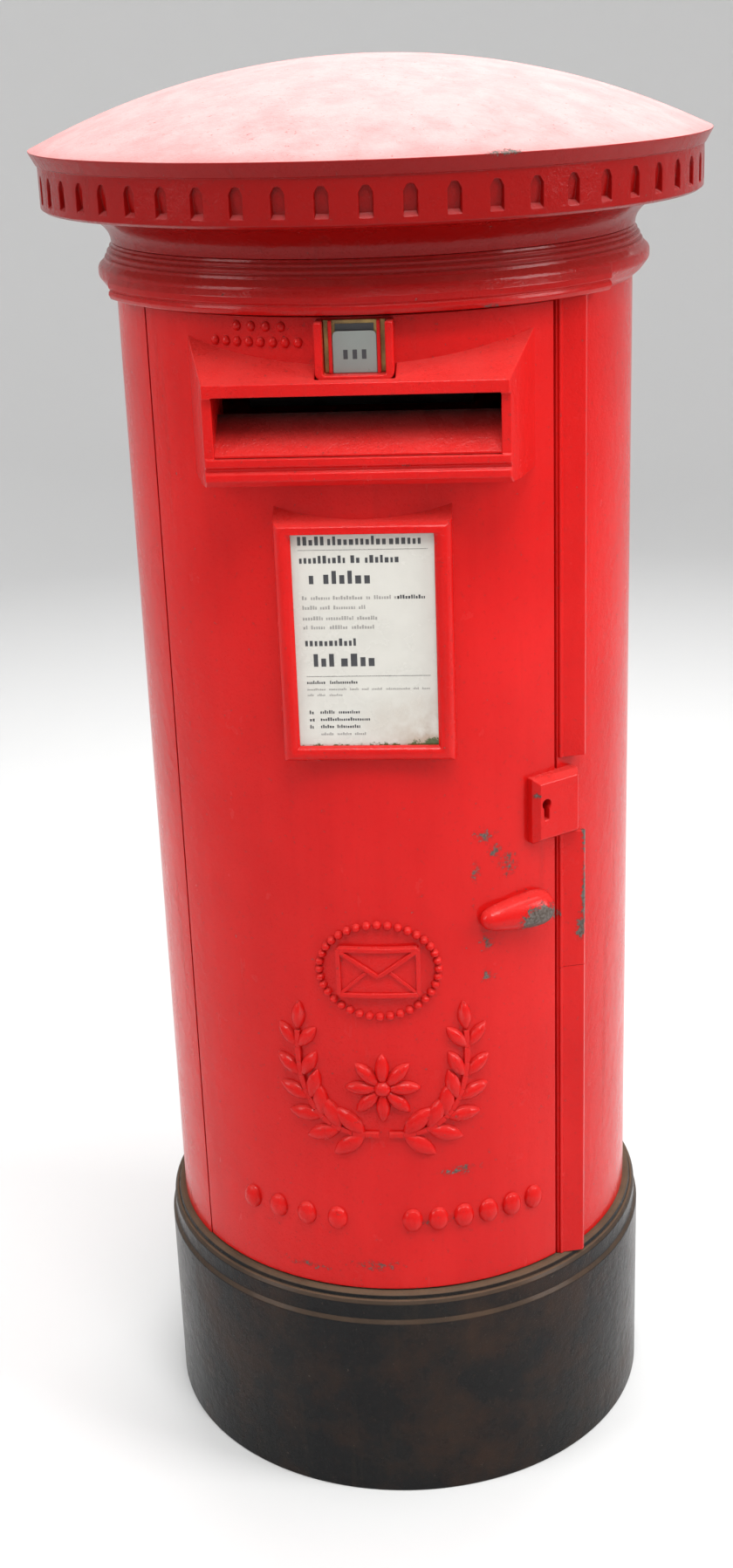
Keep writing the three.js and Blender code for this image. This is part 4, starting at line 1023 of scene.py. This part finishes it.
def surround():
    look = surroundLook
    foot = surroundLow.z + 26
    top = foot + look["slotHeight"]
    lip = top + look["lip"]
    front, jamb, back = -bodyRadius - look["hoodOut"], -bodyRadius - look["jambOut"], -180.0
    side = across([
        (back, foot - 28), (-245, foot - 27.5, 8), (jamb + 5, foot - 25.5, 4), (jamb - 1.2, foot - 19.5, 2.5),
        (jamb - 1.2, foot - 13.6), (jamb + 1.5, foot - 11.6), (jamb + 1.5, foot - 8.6), (jamb - 2, foot - 7),
        (jamb - 2, foot), (jamb, foot + 0.4), (jamb, top - 1), (front, top - 1), (front, lip),
        (back, lip + (back - front) * look["slope"]),
    ], 170)
    half, flare = look["half"], look["flare"]
    plan = prism([
        (-half - flare, back + 1), (-half, front - 1), (half, front - 1), (half + flare, back + 1),
    ], foot - 40, lip + 60)
    slot = slab(-look["slotHalf"], look["slotHalf"], -400, 0, foot, top)
    low, high = nodeBox("tablet_bracket")
    room = slab(low.x - 0.6, high.x + 0.6, low.y - 0.6, 0, low.z - 0.6, 1400)
    return cutAway(common(side, plan), slot, room, drum(bodyRadius - 5))


makePiece(
    "apertureSurround", surround(), "door_leaf", red, ["aperture_surround"],
    soft=1.2, segments=3, limit=24,
)
print("surround done")

# notice frame and plate

noticeLook = {
    "half": 80.0, "opening": 64.0, "front": 257.0, "roll": 16.0, "slope": 5.0,
    "roundedBy": [
        (0.8, 4.2), (1.6, 3.4), (2.4, 2.6), (2.8, 1.4), (2.8, 0.1), (2.6, -1.2), (1.8, -1.9), (1.2, -1.6),
    ],
}


def noticeFrame():
    look = noticeLook
    low, high = noticeLow.z, noticeHigh.z
    half, reach = look["half"], look["roll"]
    bm = slab(-half, half, -bodyRadius, -225, low, high)
    for vert in bm.verts:
        if vert.co.z > high - 1:
            vert.co.z += -look["slope"] if vert.co.y < -240 else 13
    bm.normal_update()
    face = min(bm.faces, key=lambda f: f.calc_center_median().y)
    for thickness, depth in look["roundedBy"]:
        bmesh.ops.inset_region(bm, faces=[face], thickness=thickness, depth=depth, use_even_offset=True)
    hole = slab(-look["opening"], look["opening"], -400, 0, low + reach, high - reach)
    rebate = slab(-look["opening"] - 5, look["opening"] + 5, -look["front"] + 4, 0, low + 11, high - 11)
    return cutAway(bm, hole, rebate, drum(bodyRadius - 5))


makePiece("noticeFrame", noticeFrame(), "door_leaf", red, ["notice_frame"], soft=0.6, limit=38)

# rows of plain blocks in place of print: distance down from the top, height, left end, lengths, and
# whether the ink is dark
plateLook = {
    "rows": [
        (3.0, 8.0, -58, (24, 52, 28), True), (15.0, 0.6, -58, (116,), True),
        (20.5, 7.0, -57, (43, 10, 33), True), (34.5, 12.0, -49, (10, 44), True),
        (57.5, 3.6, -56, (5, 17, 27, 4, 15, 6), False), (57.5, 3.6, 30, (25,), True),
        (66.5, 3.6, -56, (13, 9, 20, 6), False), (76.5, 3.6, -56, (18, 25, 19), False),
        (85.0, 3.6, -56, (4, 14, 17, 20), False), (97.5, 7.0, -55, (46,), True),
        (112.0, 12.0, -48, (22, 34), True), (133.0, 0.7, -55, (113,), True),
        (137.5, 3.0, -55, (18, 25), True), (144.5, 2.2, -55, (17, 16, 8, 6, 10, 22, 5, 8), False),
        (150.0, 2.2, -55, (6, 8, 12), False),
        (166.0, 3.6, -54, (5,), True), (166.0, 3.2, -44, (14, 19), True),
        (173.0, 3.6, -54, (5,), True), (173.0, 3.2, -44, (46,), True), (180.0, 3.6, -54, (5,), True),
        (180.0, 3.2, -44, (12, 21), True), (187.5, 2.6, -44, (12, 13, 10), False),
    ],
    "gap": 3.0,
}


def enamel(name, color, gloss, stained=False):
    material, tree, shader = newMaterial(name, Coat_Weight=0.4, Coat_Roughness=0.08)
    place = objectPlace(tree)
    cloudy = noiseAt(tree, place, 30, 5, 0.6)
    fine = noiseAt(tree, place, 420, 2)
    shade = mixed(tree, ranged(tree, cloudy, 0.35, 0.7, 0, 0.35), color, tuple(each * 0.82 for each in color))
    if stained:
        foot = (noticeLow.z + noticeLook["roll"]) * mm
        across, _, up = split(tree, place)
        brown = chained(
            tree, ranged(tree, across, -0.01, 0.064), ("MULTIPLY", ranged(tree, up, foot + 0.055, foot)),
            ("MULTIPLY", ranged(tree, cloudy, 0.34, 0.62)),
        )
        shade = mixed(tree, brown, shade, (0.30, 0.16, 0.07))
        ragged = mathNode(tree, "MULTIPLY", noiseAt(tree, place, 110, 5, 0.75), 0.024)
        side = ranged(tree, across, 0.03, 0.066, 0, 0.008)
        level = mathNode(tree, "ADD", mathNode(tree, "ADD", ragged, side), foot - 0.0125)
        moss = ranged(tree, mathNode(tree, "SUBTRACT", level, up), -0.001, 0.001)
        shade = mixed(tree, moss, shade, mixed(tree, fine, (0.02, 0.035, 0.008), (0.10, 0.14, 0.03)))
    tree.links.new(shade, shader.inputs["Base Color"])
    tree.links.new(ranged(tree, cloudy, 0.3, 0.7, gloss - 0.06, gloss + 0.12), shader.inputs["Roughness"])
    bumped(tree, shader, fine, 0.12, 0.0005)
    return material


darkInkAndShade = enamel("darkInkAndShade", (0.035, 0.035, 0.04), 0.35)
paleInk = enamel("paleInk", (0.30, 0.29, 0.27), 0.35)
whiteEnamel = enamel("whiteEnamel", (0.60, 0.585, 0.535), 0.22, stained=True)
greyEnamel = enamel("greyEnamel", (0.24, 0.27, 0.25), 0.3)


def printed(x0, x1, y, z0, z1, ink):
    return numbered(slab(x0, x1, y - 0.1, y + 0.5, z0, z1), ink)


def blocks(left, length, y, foot, height, ink, chance):
    # a row of plain upright blocks of uneven height, in place of a word
    made = []
    right = left + length
    while left < right - height * 0.3:
        wide = min(height * chance.uniform(0.3, 0.5), right - left)
        tall = height * (1.0 if chance.random() < 0.25 else chance.uniform(0.62, 0.74))
        made.append(printed(left, left + wide, y, foot, foot + tall, ink))
        left += wide + height * 0.24
    return made


def noticePlate():
    chance = random.Random(7)
    low, high = nodeBox("notice_plate")
    parts = [slab(low.x, high.x, low.y, high.y, low.z, high.z)]
    top = noticeHigh.z - noticeLook["roll"]
    for down, height, left, lengths, dark in plateLook["rows"]:
        for length in lengths:
            parts += blocks(left, length, low.y, top - down - height, height, 1 if dark else 2, chance)
            left += length + plateLook["gap"]
    return joined(*parts)


makePiece(
    "noticePlate", noticePlate(), "door_leaf", [whiteEnamel, darkInkAndShade, paleInk],
    ["notice_plate"],
)
print("notice done")

# tablet holder

tabletLook = {"corner": 7.0, "arm": 7.0, "bar": 5.0, "topCorner": 4.0, "mark": 4.2}


def tabletBracket():
    look = tabletLook
    low, high = nodeBox("tablet_bracket")
    half, arm, corner = high.x, look["arm"], look["corner"]
    outline = [
        (-half, high.z), (-half, low.z, corner), (half, low.z, corner), (half, high.z),
        (half - arm, high.z), (half - arm, low.z + look["bar"], 2), (-half + arm, low.z + look["bar"], 2),
        (-half + arm, high.z),
    ]
    bm = standing(prism(outline, bodyRadius - 14, -low.y, 5))
    return cutAway(bm, drum(bodyRadius - 4))


makePiece(
    "tabletBracket", tabletBracket(), "door_leaf", red, ["tablet_bracket"],
    soft=1.6, segments=3, limit=50,
)


def tabletSlide():
    low, high = nodeBox("tablet_slide")
    face = high.y - 3
    plate = slab(low.x, high.x, face, high.y, low.z, high.z)
    plate = cutAway(plate, slab(-17, 17, face - 1, face + 1.2, high.z - 12.5, high.z - 3))
    # painted shade: a dark sheet at the back of the slot stands in for its shadow
    dark = numbered(slab(-17, 17, face + 1.1, face + 2, high.z - 12.5, high.z - 3), 2)
    edges = [numbered(slab(x - 1.5, x + 1.5, low.y, face + 0.5, low.z, high.z), 1) for x in (-20.9, 20.9)]
    return joined(plate, dark, *edges)


makePiece(
    "tabletSlide", tabletSlide(), "door_leaf", [brass, plainRed, darkInkAndShade], ["tablet_slide"],
    soft=0.5, limit=50,
)


def dayTablet():
    look = tabletLook
    low, high = nodeBox("day_tablet")
    corner = look["topCorner"]
    outline = [(low.x, low.z, 0.8), (high.x, low.z, 0.8), (high.x, high.z, corner), (low.x, high.z, corner)]
    plate = standing(prism(outline, -high.y, -low.y, 5))
    middle, size = (low.z + high.z) / 2 - 2, look["mark"]
    marks = [printed(x - size / 2, x + size / 2, low.y, middle - size, middle + size, 1) for x in (-8, 0, 8)]
    return joined(plate, *marks)


makePiece(
    "dayTablet", dayTablet(), "tablet", [greyEnamel, darkInkAndShade], ["day_tablet"],
    soft=0.4, limit=50,
)
print("tablet done")

# lock block and pull

lockLook = {
    "angle": 38.5, "half": 23.0, "tall": 28.0, "shift": 15.5, "bevel": 5.0, "deep": 7.0, "front": 262.0,
    "hole": 5.0, "slit": 3.0, "drop": 16.0,
}


def lockBlock():
    look = lockLook
    middle = keyHeight - 7
    x, half, tall = look["shift"], look["half"], look["tall"]
    wide, high = half + look["bevel"], tall + look["bevel"]
    front = -look["front"] + look["deep"]
    bm = slab(x - wide, x + wide, front, -bodyRadius + 12, middle - high, middle + high)
    face = min(bm.faces, key=lambda f: f.calc_center_median().y)
    bmesh.ops.inset_region(
        bm, faces=[face], thickness=look["bevel"], depth=look["deep"], use_even_offset=True,
    )
    shaft = slab(-look["slit"], look["slit"], -400, 0, keyHeight - look["drop"], keyHeight)
    eye = bmesh.new()
    bmesh.ops.create_cone(
        eye, cap_ends=True, segments=32, radius1=look["hole"], radius2=look["hole"], depth=200,
        matrix=Matrix.Translation((0, -bodyRadius, keyHeight)) @ Matrix.Rotation(math.pi / 2, 4, "X"),
    )
    bm = cutAway(bm, shaft, eye)
    return cutAway(turnedRound(bm, look["angle"]), drum(bodyRadius - 4))


makePiece(
    "lockBlock", lockBlock(), "door_leaf", red, ["lock_block"],
    soft=1.2, segments=3, limit=25,
)

pullLook = {"angle": 33.0, "height": 652.0, "radius": 18.0, "out": 251.0}


def doorPull():
    look = pullLook
    radius = look["radius"]
    profile = [
        (-44, 0), (-43, 4.5), (-40, 8.6), (-34, 11.4), (-25, 13.4), (-14, 15.3), (-4, 16.8), (6, 17.7),
        (14, 18), (21, 17.6), (27, 16), (31.5, 13), (34.6, 8.6), (35.8, 4), (36, 0),
    ]
    bm = bmesh.new()
    points = [(x, 0, r / 18 * radius) for x, r in profile]
    verts, edges = chain(bm, points, False)
    bmesh.ops.spin(
        bm, geom=verts + edges, cent=(0, 0, 0), axis=(1, 0, 0), angle=math.tau, steps=40, use_merge=True,
    )
    bmesh.ops.remove_doubles(bm, verts=bm.verts, dist=0.01)
    moved(bm, 0, -look["out"], look["height"])
    return cutAway(turnedRound(bm, look["angle"]), drum(bodyRadius - 6))


makePiece("doorPull", doorPull(), "door_leaf", red, ["door_pull"])
print("lock and pull done")

# relief on the door

reliefLook = {
    "ovalHeight": 606.0, "ovalHalf": 62.0, "ovalTall": 52.0, "beads": 36, "beadSize": 4.4,
    "sprayHeight": 478.0, "rowHeight": 325.0, "stud": (21.0, 27.0, 8.0), "labelStud": (8.0, 9.5, 3.6),
    "rowAngles": (-35, -27.3, -19.6, -11.9, 5.9, 12, 18.1, 24.2, 30.3, 36.4),
    "labelRows": (
        (1219.5, (-25, -21.7, -18.4, -15.1)),
        (1206, (-30.5, -27.8, -25.1, -22.4, -19.7, -17, -14.3, -11.6)),
    ),
}


def blob(x, z, long, wide, high, turn=0.0, pointed=0.0):
    # a rounded lump lying on the door's face, pointed at both ends if wanted
    bm = bmesh.new()
    lying = Matrix.Rotation(math.pi / 2, 4, "Y")
    bmesh.ops.create_uvsphere(bm, u_segments=12, v_segments=8, radius=1, matrix=lying)
    for vert in bm.verts:
        narrow = max(0.0, 1 - vert.co.x ** 2) ** pointed if pointed else 1.0
        vert.co = Vector((vert.co.x * long / 2, vert.co.y * high, vert.co.z * wide / 2 * narrow))
    bmesh.ops.rotate(bm, verts=bm.verts, cent=(0, 0, 0), matrix=Matrix.Rotation(-math.radians(turn), 3, "Y"))
    return moved(bm, x, -bodyRadius, z)


def bar(x0, z0, x1, z1, width, high):
    # a straight moulding between two points of the door's face
    along = Vector((x1 - x0, z1 - z0))
    side = Vector((-along.y, along.x)).normalized() * width / 2
    a, b = Vector((x0, z0)), Vector((x1, z1))
    return standing(prism([a - side, b - side, b + side, a + side], bodyRadius - 1.5, bodyRadius + high))


def spray(side):
    # a curved stem with pairs of leaves, and one leaf at its end
    start, pull, end = Vector((5, -52)), Vector((92, -58)), Vector((84, 58))
    z = reliefLook["sprayHeight"]
    made = []
    last = None
    for i in range(13):
        t = i / 12
        spot = start.lerp(pull, t).lerp(pull.lerp(end, t), t)
        along = (pull - start).lerp(end - pull, t).normalized()
        if last:
            made.append(bar(side * last.x, z + last.y, side * spot.x, z + spot.y, 5.5, 4.0))
        leaves = [(-40, 42 - i), (40, 42 - i)] if i % 2 else [(0, 32)] if i == 12 else []
        for lean, length in leaves:
            turn = math.degrees(math.atan2(along.y, along.x)) + lean
            reach = Vector((math.cos(math.radians(turn)), math.sin(math.radians(turn)))) * length * 0.5
            facing = turn if side > 0 else 180 - turn
            x, up = side * (spot.x + reach.x), z + spot.y + reach.y
            made.append(blob(x, up, length, length * 0.46, 7.0, facing, 0.35))
        last = spot
    return made


def doorRelief():
    look = reliefLook
    z, half, tall = look["ovalHeight"], look["ovalHalf"], look["ovalTall"]
    parts = []
    for i in range(look["beads"]):
        turn = math.tau * i / look["beads"]
        size = look["beadSize"] * 2
        parts.append(blob(half * 0.94 * math.sin(turn), z + tall * 0.94 * math.cos(turn), size, size, 6.0))
    letter, deep = 38.0, 24.0
    parts.append(standing(prism([
        (-letter, z - deep, 3), (letter, z - deep, 3), (letter, z + deep, 3), (-letter, z + deep, 3),
    ], bodyRadius - 1.5, bodyRadius + 4.0)))
    for side in (-1, 1):
        parts.append(bar(side * (letter - 2), z + deep - 2, 0, z - 4, 4.2, 7.0))
        parts.append(bar(side * (letter - 2), z - deep + 2, side * 11, z + 1, 3.6, 6.0))
        parts.append(bar(-letter, z + side * deep, letter, z + side * deep, 4.6, 6.6))
        parts.append(bar(side * letter, z - deep, side * letter, z + deep, 4.6, 6.6))
    for side in (-1, 1):
        parts += spray(side)
    for i in range(8):
        turn = math.tau * i / 8
        x, up = 21 * math.cos(turn), 21 * math.sin(turn)
        parts.append(blob(x, look["sprayHeight"] + up, 34, 15, 7.0, math.degrees(turn), 0.25))
    parts.append(blob(0, look["sprayHeight"], 18, 18, 9.0))
    for angle in look["rowAngles"]:
        parts.append(blob(math.radians(angle) * bodyRadius, look["rowHeight"], *look["stud"]))
    for height, angles in look["labelRows"]:
        for angle in angles:
            parts.append(blob(math.radians(angle) * bodyRadius, height, *look["labelStud"]))
    return joined(*[wrapped(part) for part in parts])


makePiece("doorRelief", doorRelief(), "door_leaf", red, soft=0.7, segments=2, limit=32)
print("relief done")

# baffle, cage and gate

baffleLook = {"half": 125.4, "front": 267.0, "back": 235.0, "rise": 33.3}


def bafflePlate():
    look = baffleLook
    foot = surroundLow.z + 26
    front, back, head = look["front"], look["back"], foot + look["rise"]
    return across([
        (-front, foot + 0.3), (-front, foot + 2.3, 1), (-back, head, 1), (-back + 4, head - 1, 1),
    ], look["half"])


makePiece("bafflePlate", bafflePlate(), "door_leaf", baffleShadeRed, ["baffle_plate"], soft=0.5)

cageLook = {"radius": 160.0, "hoop": 4.0, "hoopHeight": 8.0, "rod": 3.0, "rodSides": 14}


def cage(node, start, end, first, last, count):
    look = cageLook
    low, high = nodeBox(node)
    radius, hoop, tall = look["radius"], look["hoop"], look["hoopHeight"]
    parts = []
    for share in (0, 0.5, 1):
        z = low.z + share * (high.z - low.z - tall)
        section = ringSection(radius, radius + hoop, z, z + tall, 1)
        parts.append(turned(section, round((end - start) / 2.5), start, end - start))
    for i in range(count):
        spot = polar(radius, first + (last - first) * i / (count - 1))
        parts.append(moved(drum(look["rod"], low.z, high.z, look["rodSides"]), spot.x, spot.y))
    return joined(*parts)


makePiece(
    "letterCage", cage("letter_cage", 58, 302, 60, 300, 10), "casing", zinc, ["letter_cage"],
    soft=0.5, limit=50,
)
makePiece(
    "cageGate", cage("cage_gate", -50, 50, -47, 47, 6), "gate", zinc, ["cage_gate"],
    soft=0.5, limit=50,
)
print("cage done")

# remaining nodes

stopBack, stopFace = carcassLook["stopRadius"], carcassLook["stopFace"]
makePiece("headStop", turned([
    (stopBack, ringFoot - 17.5, 1), (stopFace, ringFoot - 17.5, 1), (stopFace, ringFoot + 0.3),
    (stopFace + 0.3, ringFoot + 0.3), (stopFace + 0.3, ringFoot + 10, 1), (stopBack, ringFoot + 10, 1),
], 60, carcassLook["stopFrom"], 71.5), "casing", plainRed, ["head_stop"], soft=0.5)

finishes = {
    "red_paint": (plainRed, [
        "upper_hinge_bracket", "bolt_keeper", "upper_hinge_lug", "lower_hinge_lug",
    ]),
    "steel": (steel, [
        "upper_hinge_pin", "lower_hinge_pin", "lock_case", "lock_cover",
        *[name for name in frame["nodes"] if "_bolt_" in name or "_screw_" in name and "button" not in name],
    ]),
    "zinc": (zinc, ["mail_floor", "notice_tray", "gate_guide_left", "gate_guide_right"]),
    "brass": (brass, [
        "thrust_washer", "upper_hinge_bush", "lower_hinge_bush", "turn_button_left", "turn_button_right",
        "button_screw_left", "button_screw_right", "bolt_thrower", "lock_bolt",
    ]),
}
for slot, (material, names) in finishes.items():
    for name in names:
        finishNode(name, material)
finishNode("deflector_hood", shadowDarkZinc)
print("remaining nodes done")

# stage

backdropLook = {"radius": 5500.0, "bend": 1800.0, "height": 5200.0, "color": (0.68, 0.68, 0.675, 1)}


def makeBackdrop():
    # a round floor that curves up into a plain wall; the wall can be seen through from outside
    look = backdropLook
    radius, bend = look["radius"], look["bend"]
    curve = arcPoints(radius - bend, bend, bend, -90, 0, 14)
    profile = [(1, 0), (1200, 0), *curve, (radius, look["height"])]
    bm = turned(profile, 96, closed=False)
    bm.normal_update()
    if min(bm.faces, key=lambda f: f.calc_center_median().length).normal.z < 0:
        bmesh.ops.reverse_faces(bm, faces=bm.faces)
    backdrop = smoothObject("backdrop", bm)
    material, tree, shader = newMaterial("backdropPaint", Roughness=0.95, Specular_IOR_Level=0.1)
    shader.inputs["Base Color"].default_value = look["color"]
    geometry = tree.nodes.new("ShaderNodeNewGeometry")
    clear = tree.nodes.new("ShaderNodeBsdfTransparent")
    choice = tree.nodes.new("ShaderNodeMixShader")
    tree.links.new(geometry.outputs["Backfacing"], choice.inputs[0])
    tree.links.new(shader.outputs[0], choice.inputs[1])
    tree.links.new(clear.outputs[0], choice.inputs[2])
    tree.links.new(choice.outputs[0], tree.nodes["Material Output"].inputs["Surface"])
    backdrop.data.materials.append(material)


cameraLook = {
    "place": (0.1472, -2.0046, 1.4754), "down": 20.971, "pan": -0.739, "roll": -2.166, "round": 4.2,
    "lens": 46.595,
}


def makeCamera():
    look = cameraLook
    data = bpy.data.cameras.new("camera")
    data.lens = look["lens"]
    data.sensor_width = 36
    data.clip_start = 0.05
    camera = bpy.data.objects.new("camera", data)
    scene.collection.objects.link(camera)
    turn = Matrix.Rotation(math.radians(look["round"] - look["pan"]), 4, "Z")
    tilt = Matrix.Rotation(math.radians(90 - look["down"]), 4, "X")
    roll = Matrix.Rotation(math.radians(look["roll"]), 4, "Z")
    camera.matrix_world = Matrix.Translation(look["place"]) @ turn @ tilt @ roll
    scene.camera = camera


# name, place, target, width and height, and power
lights = [
    ("overhead", (0.3, 0.4, 3.8), (0, 0, 1.3), (3.0, 2.2), 84),
    ("backSky", (0.2, 2.4, 2.9), (0, 0, 1.4), (3.4, 1.4), 62),
    ("frontTop", (0.5, -1.9, 4.1), (0, -0.2, 0.8), (1.8, 1.2), 98),
    ("rightKey", (2.8, -0.9, 2.4), (0, 0, 0.7), (1.2, 2.0), 76),
    ("leftFill", (-2.6, -1.5, 2.4), (0, 0, 0.8), (1.2, 2.0), 44),
]


def areaLight(name, place, target, size, power):
    data = bpy.data.lights.new(name, "AREA")
    data.shape = "RECTANGLE"
    data.size, data.size_y = size
    data.energy = power
    light = bpy.data.objects.new(name, data)
    light.location = place
    light.rotation_euler = (Vector(target) - Vector(place)).to_track_quat("-Z", "Y").to_euler()
    scene.collection.objects.link(light)


def makeWorld():
    world = bpy.data.worlds.new("studio")
    world.use_nodes = True
    background = world.node_tree.nodes["Background"]
    background.inputs["Color"].default_value = (0.93, 0.95, 1.0, 1)
    background.inputs["Strength"].default_value = 0.24
    scene.world = world


scene.view_settings.view_transform = "Standard"
makeBackdrop()
makeCamera()
makeWorld()
for each in lights:
    areaLight(*each)
print("stage done")
